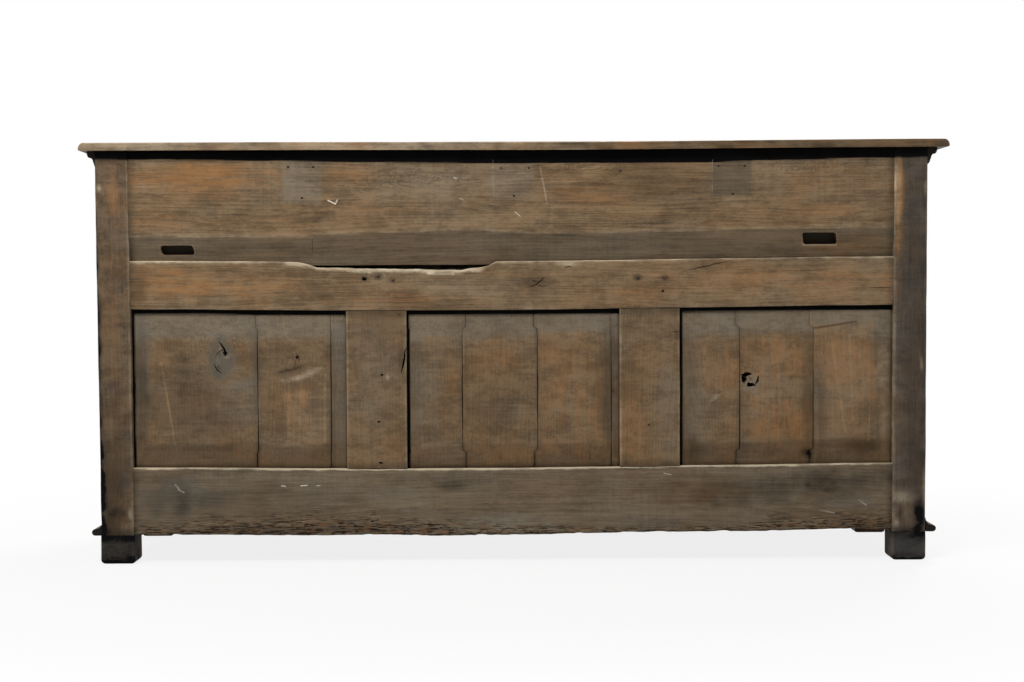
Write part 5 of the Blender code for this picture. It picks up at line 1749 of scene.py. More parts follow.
PANEL_MARKS = {
    "right": Mark.rows({
        Film.DUST: (
            (221, 357.5, 14.0, 21, 0.92, 0, False, (1.25, 0.75)), (254, 365, 5, 46, 0.45),
            (235, 386, 20, 7, 0.45, 14), (142, 350, 10, 50, 0.40), (230, 410, 28, 26, 0.30),
            (340, 395, 6, 70, 0.45),
        ),
        Film.SOOT: (
            (221, 357.5, 14.0, 21, 0.30, 0, False, (1.25, 0.75)), (141, 385, 8, 70, 0.34),
            (254, 365, 5, 46, 0.20), (297, 357.5, 3, 3, 0.8), (292, 369, 18, 3.5, 0.45, 14),
            (188, 405, 44, 40, 0.22),
        ),
        Film.RUB: (
            (227, 356.5, 6, 1.6, 0.55, 22), (219.5, 350, 1.6, 3.4, 0.45, -20), (298, 378, 17, 2.4, 0.60, 14),
            (313, 371, 10, 2.6, 0.50, 16), (303, 412, 24, 34, 0.11),
        ),
        Film.SWELL: ((221, 357, 20, 30, 1.6), (297, 360, 18, 14, 0.9)),
        Film.AMBER: ((303, 412, 22, 32, 0.60), (185, 440, 34, 8, 0.25), (195, 455, 60, 9, 0.40)),
    }),
    "centre": Mark.rows({
        Film.AMBER: (
            (450, 372, 12, 20, 0.50), (500, 360, 34, 26, 0.42), (572, 390, 32, 50, 0.75),
            (520, 452, 90, 8, 0.20),
        ),
        Film.DUST: ((425, 400, 16, 40, 0.45),),
        Film.SOOT: (
            (604, 390, 6, 70, 0.26), (515, 454, 100, 10, -0.10), (515, 322, 100, 12, 0.07),
            (490, 410, 30, 20, 0.16),
        ),
        Film.RUB: ((572, 390, 30, 46, 0.07),),
    }),
    "left": Mark.rows({
        Film.AMBER: (
            (720, 380, 22, 50, 0.75), (775, 372, 34, 38, 1.10), (852, 372, 28, 50, 1.10),
            (780, 425, 34, 26, 0.85), (845, 430, 24, 26, 0.45), (884, 385, 6, 60, 0.60),
        ),
        Film.RUB: (
            (850, 380, 30, 52, 0.12), (775, 380, 30, 46, 0.09), (718, 380, 18, 46, 0.07),
            (884, 385, 6, 70, 0.14), (716, 397, 7, 2.2, 0.45, 45),
        ),
        Film.SOOT: (
            (808, 405, 6, 50, 0.36), (822, 408, 5, 44, 0.24), (862, 446, 30, 9, 0.36),
            (694, 450, 12, 14, 0.30), (806, 453, 8, 6, 0.45), (884, 385, 7, 70, -0.25),
        ),
        Film.DUST: ((820, 396, 6, 36, 0.35), (700, 400, 10, 50, 0.40), (751, 382, 10, 10, 0.60)),
        Film.SWELL: ((750, 379, 18, 22, 1.3),),
    }),
}
PANEL_CUTS = {
    "right": (
        Crack(((217.6, 341.0), (220.5, 343.5), (224.4, 349), (225.6, 356.4)), 0.0052, 0.010),
        Crack(((224.8, 348.6), (219.4, 351), (215.6, 356.6)), 0.0024, 0.006),
        Crack(((214.8, 362), (214.9, 366), (217.6, 370.6), (222.6, 374)), 0.0034, 0.006),
        Hole((225.2, 353.2), (2.2, 3.0), 0.010, 0.35, 10),
        Crack(((276, 373), (288, 370.5), (306, 365.4)), 0.0016, 0.003),
        Crack(((140, 317), (142.6, 320), (139.4, 323.5), (142.2, 327), (139.8, 331)), 0.0018, 0.003),
        Hole((258.6, 462.4), (1.0, 2.0), 0.006, 0.25, 9),
        Crack(((333.0, 458.5), (334.8, 461), (333.6, 463.5), (334.8, 466)), 0.0024, 0.004),
        Hole((297, 357.4), (1.4, 1.6), 0.003, 0.2, 9),
    ),
    "centre": (
        Hole((617.6, 374), (1.1, 1.1), 0.006, 0.2, 8),
        Hole((613.2, 391), (1.1, 1.2), 0.006, 0.2, 8),
    ),
    "left": (
        Hole((746.0, 374.8), (5.4, 2.3), 0.012, 0.35, 13),
        Hole((744.0, 379.6), (3.1, 4.0), 0.012, 0.35, 11),
        Hole((751.6, 384.8), (4.8, 2.5), 0.011, 0.35, 13),
        Crack(((755.0, 384.6), (757.8, 381), (758.6, 375.0)), 0.0064, 0.010),
        Crack(((748.2, 375.5), (750.6, 379), (748.6, 382)), 0.0030, 0.008),
        Crack(((710.6, 402.8), (713.5, 402.0), (716.2, 399.6)), 0.0020, 0.004),
        Crack(((716.6, 394.2), (719.6, 391.6), (722.4, 391.0)), 0.0024, 0.004),
    ),
}


@dataclass
class Back:
    """The panelled back: posts, feet, rails, muntins and panels."""

    paintbox: Paintbox
    inner_face: float = 0.2055
    seat: float = 0.0004
    rail_span: Span = (-0.7815, 0.7865)  # into the posts, which lean a little

    def build(self) -> None:
        """Makes every board of the back."""
        self.build_posts()
        self.build_rails()
        self.build_upper_panel()
        self.build_panels()

    def give(self, piece: Piece, wood: Material, node: str) -> None:
        """Dresses a board of the back and puts it on the carcase.

        Args:
            piece: The board.
            wood: Its finish.
            node: The node that it stands for.
        """
        piece.data.materials.clear()
        piece.data.materials.append(wood)
        hand_over(piece, "carcase", Slot.BACK, node)

    def lay(self, kind: type[WornBoard], node: str, run: Run, wood: Material, **sizes: object) -> Piece:
        """Makes a board in the place of its node.

        Args:
            kind: The kind of board.
            node: The node that it stands for, which gives the sizes that aren't given.
            run: The way its grain runs.
            wood: Its finish.
            sizes: Values of the board.

        Returns:
            The board.
        """
        low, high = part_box(node)
        along, across = (0, 2) if run is Run.ACROSS else (2, 0)
        axes = {"length": along, "width": across, "depth": 1}
        box = {side: (low[axis], high[axis]) for side, axis in axes.items()}
        piece = kind(name=f"worn_{node}", run=run, **{**box, **sizes}).build()
        self.give(piece, wood, node)
        return piece

    def build_posts(self) -> None:
        """The rear posts and the feet that are pieced on below them."""
        wood = self.paintbox.oak(POST_OAK, Run.UPRIGHT)
        for number, (side, marks) in enumerate(POST_MARKS.items()):
            low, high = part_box(f"rear_post_{side}")
            post = self.lay(
                WornBoard, f"rear_post_{side}", Run.UPRIGHT, wood, seed=61 + number,
                length=(low.z + self.seat, high.z), ease=(0.0026, 0.0026), rub=(0.35, 0.35), side_steps=9,
                lean=POST_LEAN[side], film_depth=(0.0060, 0.0018), marks=marks, shaded=True,
                base={Film.AMBER: 0.14, Film.SOOT: 0.30 - 0.02 * number, Film.DUST: 0.14 + 0.36 * number},
            )
            self.polish_side(post, 1 if side == "right" else -1)
            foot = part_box(f"rear_foot_{side}")[0].z
            self.lay(
                Foot, f"rear_foot_{side}", Run.UPRIGHT, wood, seed=67 + number,
                length=(foot, low.z - self.seat), ease=(0.0035, 0.0035), rub=(0.3, 0.3), side_steps=9,
                lean=(POST_LEAN[side][0],) * 2, wave=0.0007, film_depth=(0.075, 0.012),
                base={Film.SOOT: 0.84 - 0.20 * number, Film.DUST: 0.9}, marks=FOOT_MARKS,
            )

    def polish_side(self, post: Piece, outward: int) -> None:
        """Gives the outer side of a post, and its front side, the finish of the dresser's ends.

        Args:
            post: The post.
            outward: 1 where its outer side looks along X, and -1 where it looks against it.
        """
        post.data.materials.append(self.paintbox.oak(SHOW_OAK, Run.UPRIGHT))
        for face in post.data.polygons:
            face.material_index = int(face.normal.x * outward > 0.8 or face.normal.y < -0.5)

    def build_rails(self) -> None:
        """The bottom rail, the middle rail and the two muntins."""
        depth = (self.inner_face, RAIL_FACE)
        wood = self.paintbox.oak(COMBED_OAK, Run.ACROSS, BOTTOM_STROKES, "_bottom")
        # The upper arris is rubbed bright: wear, and a painted highlight where light catches the edge.
        self.lay(
            BottomRail, "back_bottom_rail", Run.ACROSS, wood, seed=71, length=self.rail_span, depth=depth,
            ease=(0.0040, 0.0030), rub=(0.0, 2.20), rub_reach=0.0024, bowed=True, cell=(0.0035, 0.0028),
            base={Film.DUST: 0.50, Film.SOOT: 0.17}, marks=BOTTOM_MARKS,
        )
        # The upper arris is rubbed paler than the lower one: wear, and a painted highlight.
        self.lay(
            MiddleRail, "back_middle_rail", Run.ACROSS, self.paintbox.oak(COMBED_OAK, Run.ACROSS), seed=72,
            length=self.rail_span, depth=depth, ease=(0.0020, 0.0020), rub=(0.25, 0.72), rub_reach=0.0018,
            bowed=True, base={Film.AMBER: 0.06}, marks=MIDDLE_MARKS, cuts=MIDDLE_CUTS,
        )
        rails = (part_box("back_bottom_rail")[1].z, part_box("back_middle_rail")[0].z)
        wood = self.paintbox.oak(BACK_OAK, Run.UPRIGHT)
        for number, side in enumerate(MUNTIN_MARKS):
            low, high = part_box(f"back_muntin_{side}")
            rise = float(bow(np.array((low.x + high.x) / 2)))
            self.lay(
                WornBoard, f"back_muntin_{side}", Run.UPRIGHT, wood, seed=73 + number,
                length=(rails[0] + self.seat + rise, rails[1] - self.seat + rise), depth=depth,
                rub=(0.30, 0.30), marks=MUNTIN_MARKS[side], cuts=MUNTIN_CUTS[side],
            )

    def build_upper_panel(self) -> None:
        """The wide board above the middle rail."""
        wood = self.paintbox.oak(COMBED_OAK, Run.ACROSS, UPPER_STROKES, "_upper")
        self.lay(
            UpperPanel, "back_upper_panel", Run.ACROSS, wood, seed=81, length=self.rail_span, rub=(0.0, 0.0),
            marks=UPPER_MARKS, cuts=UPPER_CUTS, sight=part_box("back_middle_rail")[1].z, shaded=True,
        )

    def build_panels(self) -> None:
        """The three fielded panels, each glued up from boards."""
        rails = (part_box("back_bottom_rail")[1].z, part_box("back_middle_rail")[0].z)
        posts = (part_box("rear_post_left")[1].x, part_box("rear_post_right")[0].x)
        first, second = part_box("back_muntin_left"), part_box("back_muntin_right")
        sights = {
            "left": (posts[0], first[0].x),
            "centre": (first[1].x, second[0].x),
            "right": (second[1].x, posts[1] + sum(POST_LEAN["right"]) / 2),
        }
        wood = self.paintbox.oak(BACK_OAK, Run.UPRIGHT, PANEL_STROKES, "_panels")
        for number, (bay, sight) in enumerate(sights.items()):
            low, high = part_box(f"back_panel_{bay}")
            joints = [(CAMERA.spot(px, PANEL_ROW)[0], -skew * PIXEL) for px, skew in PANEL_JOINTS[bay]]
            edges = [(low.x, 0.0), *sorted(joints), (high.x, 0.0)]
            boards = []
            for board, ((left, left_skew), (right, right_skew)) in enumerate(zip(edges, edges[1:])):
                cuts = [cut for cut in PANEL_CUTS[bay] if left < self.cut_place(cut) < right]
                made = FieldedBoard(
                    name=f"panel_board_{bay}_{board}", run=Run.UPRIGHT, seed=101 + 7 * number + board,
                    length=(low.z, high.z), width=(left, right),
                    depth=(low.y, high.y + BOARD_STEP * (board % 2)),
                    ease=(0.0009, 0.0009), rub=(0.10, 0.10), marks=PANEL_MARKS[bay], cuts=cuts,
                    sight_x=sight, sight_z=rails, skew=(left_skew, right_skew),
                    top_bevel=TOP_BEVELS.get((bay, board), 1.0), panel_seed=91 + number,
                )
                boards.append(made.build())
            self.give(join(boards, f"worn_back_panel_{bay}"), wood, f"back_panel_{bay}")

    @staticmethod
    def cut_place(cut: Crack | Hole) -> float:
        """The X of a cut."""
        return CAMERA.spot(*(cut.path[0] if isinstance(cut, Crack) else cut.spot))[0]


@dataclass
class Nails:
    """Forged nail heads in the back, where the photograph shows them."""

    paintbox: Paintbox
    radius: float = 0.0036
    height: float = 0.0010
    sides: int = 9

    HEADS = ((620, 171), (638, 278), (665, 278), (378, 276.5), (393, 280))

    def build(self) -> None:
        """Makes the heads as one piece."""
        solid = bmesh.new()
        random = np.random.default_rng(5)
        for head in self.HEADS:
            spot = CAMERA.spot(*head)
            rings = []
            for share, y in ((1.0, -0.0016), (1.0, 0.0002), (0.72, self.height * 0.8), (0.25, self.height)):
                reach = self.radius * share * (1.0 + 0.10 * random.uniform(-1.0, 1.0, self.sides))
                rings.append(ring_of(solid, spot, RAIL_FACE + y, circle(self.sides), reach, reach))
            loft(solid, rings)
        piece = mesh_of("back_nail_heads", solid)
        piece.data.materials.append(self.paintbox.iron())
        shade(piece, 50.0)
        hand_over(piece, "carcase", Slot.IRON)


@dataclass
class Pegs:
    """Oak pegs that draw the joints tight, a little proud of the face they are driven into."""

    paintbox: Paintbox
    radius: float = 0.0042
    proud: float = 0.0007
    sides: int = 11
    inset: float = 0.017
    soot: float = 0.38

    BACK_SPOTS = ((124, 275), (125, 294))
    POST_RAILS = ("front_bottom_rail", "front_drawer_rail")
    HEIGHTS = (0.27, 0.73)

    def build(self) -> None:
        """Makes the pegs of the back, the front and the doors, a piece for each."""
        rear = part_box("rear_post_right")[1].y
        spots = [CAMERA.spot(*spot, rear) for spot in self.BACK_SPOTS]
        self.drive("back_pegs", "carcase", spots, rear, 1, POST_OAK)
        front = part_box("front_post_left")[0].y
        spots = []
        for side in ("left", "right"):
            spots += self.joint(f"front_post_{side}", self.POST_RAILS)
            low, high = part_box(f"front_muntin_{side}")
            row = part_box("front_bottom_rail")[1].z - self.inset
            spots += [(low.lerp(high, share).x, row) for share in self.HEIGHTS]
        self.drive("front_pegs", "carcase", spots, front, -1, SHOW_OAK)
        for door in ("door_left", "door_right"):
            rails = (f"{door}_top_rail", f"{door}_bottom_rail")
            spots = self.joint(f"{door}_hanging_stile", rails) + self.joint(f"{door}_closing_stile", rails)
            self.drive(f"{door}_pegs", door, spots, front, -1, SHOW_OAK)

    def joint(self, upright: str, rails: Sequence[str]) -> list[Pixel]:
        """The pegs through an upright, two for each rail that is tenoned into it.

        Args:
            upright: The node of the upright.
            rails: The nodes of the rails.

        Returns:
            The X and Z of each peg.
        """
        low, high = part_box(upright)
        middle = (low.x + high.x) / 2
        spots = []
        for rail in rails:
            rail_low, rail_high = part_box(rail)
            inner = low.x if (rail_low.x + rail_high.x) / 2 < middle else high.x
            column = inner + math.copysign(self.inset, middle - inner)
            foot = max(rail_low.z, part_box("base_moulding")[1].z)
            spots += [(column, foot + share * (rail_high.z - foot)) for share in self.HEIGHTS]
        return spots

    def drive(
        self, name: str, body: str, spots: Sequence[Pixel], face: float, outward: int, finish: OakFinish
    ) -> None:
        """Makes one piece of pegs.

        Args:
            name: The name of the piece.
            body: The body that it rides on.
            spots: The X and Z of each peg.
            face: The Y of the face that the pegs stand proud of.
            outward: 1 where the face looks to the rear, and -1 where it looks to the front.
            finish: The oak of the pegs.
        """
        solid = bmesh.new()
        random = np.random.default_rng(len(spots))
        for spot in spots:
            angles = random.uniform(0.0, math.pi) + circle(self.sides)
            rim = self.radius * random.uniform(0.88, 1.0, self.sides)
            rings = []
            for share, rise in ((1.0, -0.0015), (1.0, 0.0002), (0.84, self.proud * 0.8), (0.35, self.proud)):
                rings.append(ring_of(solid, spot, face + outward * rise, angles, rim * share, rim * share))
            loft(solid, rings)
        piece = mesh_of(name, solid)
        piece.data.materials.append(self.paintbox.oak(finish, Run.DEEP))
        columns = points_of(piece)[:, 0]
        paint_points(piece, Film.SEED, np.round(columns * 40.0) / 7.0)
        paint_points(piece, Film.SOOT, self.soot)
        shade(piece, 40.0)
        hand_over(piece, body, Slot.BACK if outward > 0 else Slot.SHOW)


@dataclass
class Knobs:
    """The turned knobs; those of the doors have a spindle and the latch behind."""

    paintbox: Paintbox
    sides: int = 40
    steps: int = 5
    tenon_radius: float = 0.0060
    tenon_length: float = 0.0160
    latch_half: float = 0.0070
    latch_ease: float = 0.0012
    latch_depth: Span = (-0.1857, -0.1777)
    latch_reach: Span = (-0.0450, 0.0130)

    OUTLINE = (  # radius and height, crown first
        (0.0, 0.0300), (0.0096, 0.0292), (0.0154, 0.0261), (0.0175, 0.0210), (0.0154, 0.0159),
        (0.0092, 0.0111), (0.0080, 0.0072), (0.0116, 0.0030), (0.0125, 0.0012),
    )
    SEAT = 0.0003
    RUB = 0.55
    RUB_RADIUS = (0.010, 0.017)
    RUB_HEIGHT = (0.016, 0.022)
    SOOT = 0.45
    SOOT_HEIGHT = (0.014, 0.006)
    LATCH_STEPS = 9

    def build(self) -> None:
        """Makes a piece for each knob of the frame."""
        for node, source in sorted(frame["nodes"].items()):
            if node.endswith("_knob"):
                self.turn(node, source["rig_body"])

    def outline(self) -> list[Pixel]:
        """A smooth curve through the outline, from the crown to the foot.

        Returns:
            The radius and the height of its points.
        """
        mirrored = (-self.OUTLINE[1][0], self.OUTLINE[1][1])
        last = (2 * self.OUTLINE[-1][0] - self.OUTLINE[-2][0], -0.0006)
        knots = np.array((mirrored, *self.OUTLINE, last))
        curve = []
        for before, start, end, after in zip(knots, knots[1:], knots[2:], knots[3:]):
            for t in np.linspace(0.0, 1.0, self.steps, endpoint=False):
                bend = (2 * before - 5 * start + 4 * end - after) * t**2
                twist = (3 * start - before - 3 * end + after) * t**3
                curve.append((2 * start + (end - before) * t + (bend + twist)) / 2)
        widest = max(radius for radius, _ in self.OUTLINE)
        return [(float(np.clip(radius, 0.0001, widest)), float(height)) for radius, height in curve]

    def turn(self, node: str, body: str) -> None:
        """Makes one knob, and its latch where it has one.

        Args:
            node: The knob's node.
            body: The body that it rides on.
        """
        low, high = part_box(node)
        latched = "latch" in node
        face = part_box("front_post_left")[0].y - self.SEAT
        x, z = (low.x + high.x) / 2, high.z - (high.x - low.x) / 2
        inner = sum(self.latch_depth) / 2 if latched else face + self.tenon_length
        foot = self.OUTLINE[-1][0]
        profile = [*self.outline(), (foot, 0.0), (self.tenon_radius, 0.0), (self.tenon_radius, face - inner)]
        solid = bmesh.new()
        angles = circle(self.sides)
        rings = [ring_of(solid, (x, z), face - height, angles, radius, radius) for radius, height in profile]
        loft(solid, rings)
        if latched:
            self.add_latch(solid, x, z)
        piece = mesh_of(f"turned_{node}", solid)
        piece.data.materials.append(self.paintbox.oak(SHOW_OAK, Run.DEEP))
        points = points_of(piece)
        reach = np.hypot(points[:, 0] - x, points[:, 2] - z)
        out = face - points[:, 1]
        paint_points(piece, Film.SEED, 5.0 + x)
        worn = ramp(reach, *self.RUB_RADIUS) * ramp(out, *self.RUB_HEIGHT)
        paint_points(piece, Film.RUB, self.RUB * worn)
        paint_points(piece, Film.SOOT, self.SOOT * ramp(out, *self.SOOT_HEIGHT))
        shade(piece, 42.0)
        hand_over(piece, body, Slot.SHOW, node)

    def add_latch(self, solid: Solid, x: float, z: float) -> None:
        """Adds the latch, a small bar with rounded ends and eased arrises.

        Args:
            solid: The knob's mesh.
            x: The X of the spindle.
            z: Its height.
        """
        low, high = (z + reach for reach in self.latch_reach)
        half, ease = self.latch_half, self.latch_ease
        front, rear = self.latch_depth
        rings = []
        for y, inset in ((front, ease), (front + ease, 0.0), (rear - ease, 0.0), (rear, ease)):
            ring = []
            for centre, start in ((high - half, 0.0), (low + half, math.pi)):
                angles = np.linspace(start, start + math.pi, self.LATCH_STEPS)
                ring += ring_of(solid, (x, centre), y, angles, half - inset, half - inset)
            rings.append(ring)
        loft(solid, rings)


@dataclass
class EndFillets:
    """Strips behind the base moulding that close the gap to the sunk end boards."""

    paintbox: Paintbox
    low: float = 0.0625
    high: float = 0.0800
    inner: Span = (0.8319, 0.8338)  # along the end board's bevel, at the strip's foot and at its crown
    outer: float = 0.8468
    ease: float = 0.0014
    play: float = 0.0002
    steps: int = 16
    soot: float = 0.35

    def build(self) -> None:
        """Makes a strip for each end, between the posts."""
        profile = (
            (self.inner[0], self.low),
            (self.outer, self.low),
            (self.outer, self.high - self.ease),
            (self.outer - self.ease, self.high),
            (self.inner[1], self.high),
        )
        for side, sign in (("left", -1), ("right", 1)):
            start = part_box(f"front_post_{side}")[1].y + self.play
            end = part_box(f"rear_post_{side}")[0].y - self.play
            solid = bmesh.new()
            rings = []
            for y in np.linspace(start, end, self.steps):
                rings.append([solid.verts.new((sign * x, y, z)) for x, z in profile])
            loft(solid, rings)
            piece = mesh_of(f"end_fillet_{side}", solid)
            piece.data.materials.append(self.paintbox.oak(SHOW_OAK, Run.DEEP))
            paint_points(piece, Film.SEED, 7.0 + sign)
            paint_points(piece, Film.SOOT, self.soot)
            shade(piece)
            hand_over(piece, "carcase", Slot.SHOW)


# Everything else: the solids of the frame, with worn arrises


@dataclass
class EasedParts:
    """The pieces that keep the shape of their solids, with their arrises eased by wear."""

    paintbox: Paintbox
    ease: float = 0.0014
    lattice: float = 0.020
    sharp: float = math.radians(28.0)

    UPRIGHT_NODES = ("door_left_panel", "door_right_panel", "front_fixed_panel")
    MOULDINGS = ("cornice_moulding", "base_moulding")
    SAG_PLACE = 0.110
    SAG_REACH = 0.42
    SAG_DEPTH = 0.0030
    REAR_EDGE = (0.236, 0.250)
    CORNER_WEAR = 0.007
    CORNER_X = (0.850, 0.890)
    CORNER_Y = (0.10, 0.25)
    ROOM = 2.6  # the shortest edge beside an eased one, in widths of the easing
    ARRIS_RUB = 0.6
    DARKEN = 0.62
    PANEL_EDGE_REACH = (0.036, 0.008)
    HAND_REACH = (0.060, 0.012)
    FOOT_REACH = (0.075, 0.0)

    def build(self, done: set[str]) -> None:
        """Makes a piece for each node that nothing stands for yet.

        Args:
            done: The nodes that a piece already stands for.
        """
        for number, (node, source) in enumerate(sorted(frame["nodes"].items())):
            if node not in done:
                slot = Slot(source.data.materials[0].name)
                piece = self.copy(node, source)
                self.paint(piece, node, number)
                self.dress(piece, node, slot)
                hand_over(piece, source["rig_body"], slot, node)

    def run_of(self, node: str) -> Run:
        """The way the grain runs: along the longest side, but for panels.

        Args:
            node: A node.

        Returns:
            The run of its grain.
        """
        if node in self.UPRIGHT_NODES:
            return Run.UPRIGHT
        low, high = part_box(node)
        size = high - low
        return Run(max(range(3), key=lambda axis: size[axis]))

    def copy(self, node: str, source: Piece) -> Piece:
        """Copies a node's mesh, eases its arrises and cuts it into cells that can be painted.

        Args:
            node: The node.
            source: Its object in the frame.

        Returns:
            The copy.
        """
        plain = bpy.data.meshes.new("plain")
        places = [vertex.co[:] for vertex in source.data.vertices]
        plain.from_pydata(places, [], [tuple(face.vertices) for face in source.data.polygons])
        solid = bmesh.new()
        solid.from_mesh(plain)
        bpy.data.meshes.remove(plain)
        bmesh.ops.remove_doubles(solid, verts=solid.verts, dist=1e-6)
        bmesh.ops.dissolve_limit(solid, angle_limit=math.radians(1.0), verts=solid.verts, edges=solid.edges)
        strip = solid.faces.layers.int.new("strip")
        edges = [edge for edge in solid.edges if self.can_ease(edge)]
        if edges:
            rounding = {"segments": 2, "profile": 0.5, "affect": "EDGES", "clamp_overlap": True}
            eased = bmesh.ops.bevel(solid, geom=edges, offset=self.ease, **rounding)
            for face in eased["faces"]:
                face[strip] = 1
        low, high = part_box(node)
        for axis in range(3):
            count = int((high[axis] - low[axis]) / self.lattice)
            normal = Vector([float(axis == other) for other in range(3)])
            for step in range(1, count):
                place = low.lerp(high, step / count)
                geometry = [*solid.verts, *solid.edges, *solid.faces]
                bmesh.ops.bisect_plane(solid, geom=geometry, plane_co=place, plane_no=normal)
        if node.startswith("top_"):
            self.wear_top(solid)
        return mesh_of(f"eased_{node}", solid)

    def wear_top(self, solid: Solid) -> None:
        """Lets the top's rear edge sag between the posts, and wears away its rear corner.

        Args:
            solid: The mesh of a board of the top.
        """
        for vertex in solid.verts:
            x, y, _ = vertex.co
            rear = float(ramp(np.array(y), *self.REAR_EDGE))
            sag = math.exp(-(((x + self.SAG_PLACE) / self.SAG_REACH) ** 2))
            vertex.co.z -= self.SAG_DEPTH * sag * rear
            end = float(ramp(np.array(x), *self.CORNER_X))
            vertex.co.x -= self.CORNER_WEAR * end * float(ramp(np.array(y), *self.CORNER_Y))

    def can_ease(self, edge: bmesh.types.BMEdge) -> bool:
        """Whether an edge is an outer arris with room for the easing.

        Args:
            edge: An edge of the mesh.

        Returns:
            True where it can be eased.
        """
        if len(edge.link_faces) != 2 or not edge.is_convex or edge.calc_face_angle() < self.sharp:
            return False
        beside = {near for vertex in edge.verts for near in vertex.link_edges}
        return min(near.calc_length() for near in beside) > self.ROOM * self.ease

    def paint(self, piece: Piece, node: str, number: int) -> None:
        """Paints the grain's place on the whole piece, and wear, dark stains and painted shade on the
        corners of its faces.

        Args:
            piece: The piece.
            node: The node that it stands for.
            number: The piece's number, which places its grain.
        """
        mesh = piece.data
        paint_points(piece, Film.SEED, 3.0 + number * 0.37)
        strips, totals = (np.zeros(len(mesh.polygons), np.int32) for _ in range(2))
        mesh.attributes["strip"].data.foreach_get("value", strips)
        mesh.attributes.remove(mesh.attributes["strip"])
        mesh.polygons.foreach_get("loop_total", totals)
        corners = np.empty(len(mesh.loops), np.int32)
        mesh.loops.foreach_get("vertex_index", corners)
        normals = np.empty(len(mesh.polygons) * 3, np.float32)
        mesh.polygons.foreach_get("normal", normals)
        x, y, z = points_of(piece)[corners].T
        rearward = np.repeat(normals.reshape(-1, 3)[:, 1] > 0.5, totals)
        films = {Film.RUB: np.repeat(strips, totals) * self.ARRIS_RUB, Film.SOOT: np.zeros(len(corners))}
        grit = Grit(200 + number)
        if node == "top_rear_board":
            films[Film.RUB] += rearward * 0.32 * ramp(x + 0.25 * grit.layers(x * 7.0, z * 50.0), -0.35, 0.10)
            stains = ramp(grit.layers(x * 16.0, z * 90.0, 4), 0.05, 0.45)
            films[Film.SOOT] += rearward * (0.45 * stains + 0.22 * ramp(x, 0.0, -0.20))
            films[Film.AMBER] = rearward * ramp(grit.layers(x * 11.0 + 40.0, z * 60.0, 4), -0.10, 0.35)
        elif node in self.MOULDINGS:
            # painted shade: the mouldings darker towards the rear and on their rearward faces
            films[Film.SOOT] += 0.75 * ramp(y, 0.10, 0.22) + 0.60 * rearward
        elif node.endswith("_back"):
            # painted shade: the drawer backs are painted black on their rear faces, so the finger slots look
            # dark inside
            films[Film.SOOT] += 1.60 * rearward
        elif node.endswith("_panel"):
            low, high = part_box(node)
            inward = np.minimum(np.minimum(x - low.x, high.x - x), np.minimum(z - low.z, high.z - z))
            # darker towards the panel's edges, by the frame
            films[Film.SOOT] += self.DARKEN * ramp(inward, *self.PANEL_EDGE_REACH)
        elif node.endswith(("_front", "_closing_stile")):
            knob = "_latch_knob" if node.endswith("stile") else "_knob"
            low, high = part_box(node.removesuffix("_front").removesuffix("_closing_stile") + knob)
            away = np.hypot(x - (low.x + high.x) / 2, z - high.z + (high.x - low.x) / 2)
            films[Film.SOOT] += self.DARKEN * ramp(away, *self.HAND_REACH)
        elif node.startswith("front_post"):
            height = z + 0.03 * grit.layers(x * 30.0, z * 30.0)
            # darker towards the foot
            films[Film.SOOT] += self.DARKEN * ramp(height, *self.FOOT_REACH)
        for film, values in films.items():
            layer = mesh.attributes.new(film.value, "FLOAT", "CORNER")
            layer.data.foreach_set("value", values.astype(np.float32))

    def dress(self, piece: Piece, node: str, slot: Slot) -> None:
        """Gives a piece its finish; bare edges and a moulding's returns have their own.

        Args:
            piece: The piece.
            node: The node that it stands for.
            slot: The look that the node has in the frame.
        """
        materials = piece.data.materials
        if slot is Slot.IRON:
            materials.append(self.paintbox.iron())
        elif node == "top_rear_board":
            materials.append(self.paintbox.oak(OAKS[slot], Run.ACROSS))
            materials.append(self.paintbox.oak(COMBED_OAK, Run.ACROSS))
            for face in piece.data.polygons:
                face.material_index = int(face.normal.y > 0.5)
        elif node in self.MOULDINGS:
            materials.append(self.paintbox.oak(OAKS[slot], Run.ACROSS))
            materials.append(self.paintbox.oak(OAKS[slot], Run.DEEP))
            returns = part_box("front_post_right")[1].x - 0.002
            for face in piece.data.polygons:
                face.material_index = int(abs(face.center.x) > returns)
        else:
            materials.append(self.paintbox.oak(OAKS[slot], self.run_of(node)))
        shade(piece)
        normals = piece.modifiers.new("normals", "WEIGHTED_NORMAL")
        normals.keep_sharp = True


@dataclass(frozen=True)
class Lamp:
    """A soft box of the studio."""

    name: str
    place: Colour
    size: Span
    power: float

    AIM = Vector((0.0, 0.0, 0.45))

    def make(self) -> None:
        """Adds the soft box, turned to the dresser."""
        data = bpy.data.lights.new(self.name, "AREA")
        data.shape, data.size, data.size_y, data.energy = "RECTANGLE", *self.size, self.power
        lamp = bpy.data.objects.new(self.name, data)
        bpy.context.scene.collection.objects.link(lamp)
        lamp.location = self.place
        lamp.rotation_mode = "QUATERNION"
        lamp.rotation_quaternion = (self.AIM - lamp.location).to_track_quat("-Z", "Y")


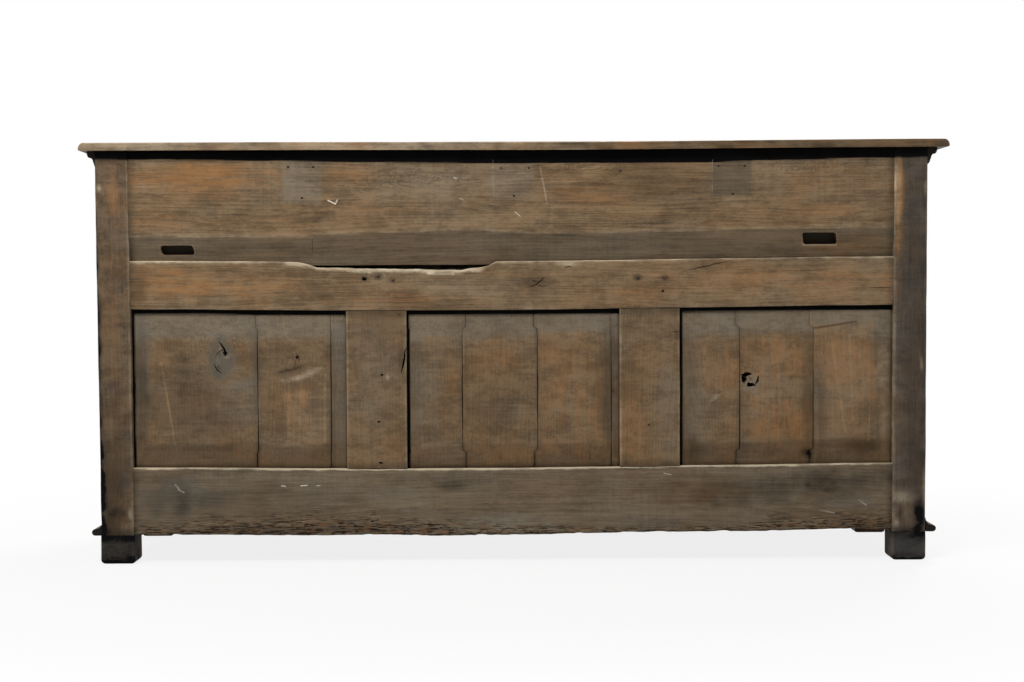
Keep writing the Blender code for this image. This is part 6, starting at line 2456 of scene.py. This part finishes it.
@dataclass(frozen=True)
class Studio:
    """The pale floor, the white surround and the soft lamps."""

    floor_size: float = 60.0
    floor_colour: Colour = (0.55, 0.55, 0.545)
    floor_glow: float = 0.84
    shadow_reach: Span = (0.8, 1.9)
    ambient: float = 0.11
    lamps: Sequence[Lamp] = (
        Lamp("back_soft_box", (1.2, 2.5, 3.5), (1.8, 0.9), 165.0),
        Lamp("front_soft_box", (-1.2, -2.6, 3.3), (2.4, 1.2), 200.0),
        Lamp("left_soft_box", (-3.4, 0.2, 2.2), (1.6, 1.6), 40.0),
        Lamp("right_soft_box", (3.4, 0.2, 2.2), (1.6, 1.6), 40.0),
    )

    WHITE = (1.0, 1.0, 1.0)

    def build(self) -> None:
        """Makes the studio."""
        bpy.context.scene.view_settings.view_transform = "Standard"
        for lamp in self.lamps:
            lamp.make()
        self.build_floor()
        self.build_surround()

    def build_floor(self) -> None:
        """A floor that the camera sees as white, with the dresser's shadow on it."""
        half = self.floor_size / 2
        corners = [(-half, -half, 0), (half, -half, 0), (half, half, 0), (-half, half, 0)]
        mesh = bpy.data.meshes.new("studio_floor")
        mesh.from_pydata(corners, [], [(0, 1, 2, 3)])
        floor = new_object("studio_floor", mesh)
        graph = Graph(bpy.data.materials.new("studio_floor"))
        matt = graph.wire("ShaderNodeBsdfDiffuse", None, {"Color": self.floor_colour})
        glow = graph.wire("ShaderNodeEmission", None, {"Color": self.WHITE, "Strength": 1.0})
        far = graph.vector("LENGTH", first=graph.place()).band(*self.shadow_reach)
        share = self.seen(graph) * (self.floor_glow + (1.0 - self.floor_glow) * far)
        mixed = graph.wire("ShaderNodeMixShader", None, {0: share, 1: matt, 2: glow})
        graph.node("ShaderNodeOutputMaterial", None, {0: mixed})
        mesh.materials.append(graph.owner)

    def build_surround(self) -> None:
        """A surround that lights softly and that the camera sees as white."""
        world = bpy.data.worlds.new("studio_surround")
        bpy.context.scene.world = world
        graph = Graph(world)
        light = graph.wire("ShaderNodeBackground", None, {"Color": self.WHITE, "Strength": self.ambient})
        white = graph.wire("ShaderNodeBackground", None, {"Color": self.WHITE, "Strength": 1.0})
        mixed = graph.wire("ShaderNodeMixShader", None, {0: self.seen(graph), 1: light, 2: white})
        graph.node("ShaderNodeOutputWorld", None, {0: mixed})

    @staticmethod
    def seen(graph: Graph) -> Wire:
        """Where the camera looks, straight or by way of a gloss or a glass.

        Args:
            graph: The graph to add to.

        Returns:
            1 there, and 0 for light.
        """
        path = graph.node("ShaderNodeLightPath")
        camera, gloss, glass = (
            Wire(graph, path.outputs[f"Is {ray} Ray"]) for ray in ("Camera", "Glossy", "Transmission")
        )
        return camera.most(gloss).most(glass)


def replaced_nodes() -> set[str]:
    """The nodes that a piece already stands for."""
    return {node for piece in bpy.context.scene.objects for node in piece.get("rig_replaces", ())}


def main() -> None:
    """Builds the looks, piece by piece."""
    logging.basicConfig(level=logging.INFO, format="%(name)s: %(message)s")
    CAMERA.make()
    Studio().build()
    paintbox = Paintbox()
    Back(paintbox).build()
    Nails(paintbox).build()
    Pegs(paintbox).build()
    Knobs(paintbox).build()
    EndFillets(paintbox).build()
    EasedParts(paintbox).build(replaced_nodes())


if __name__ == "__main__":
    main()
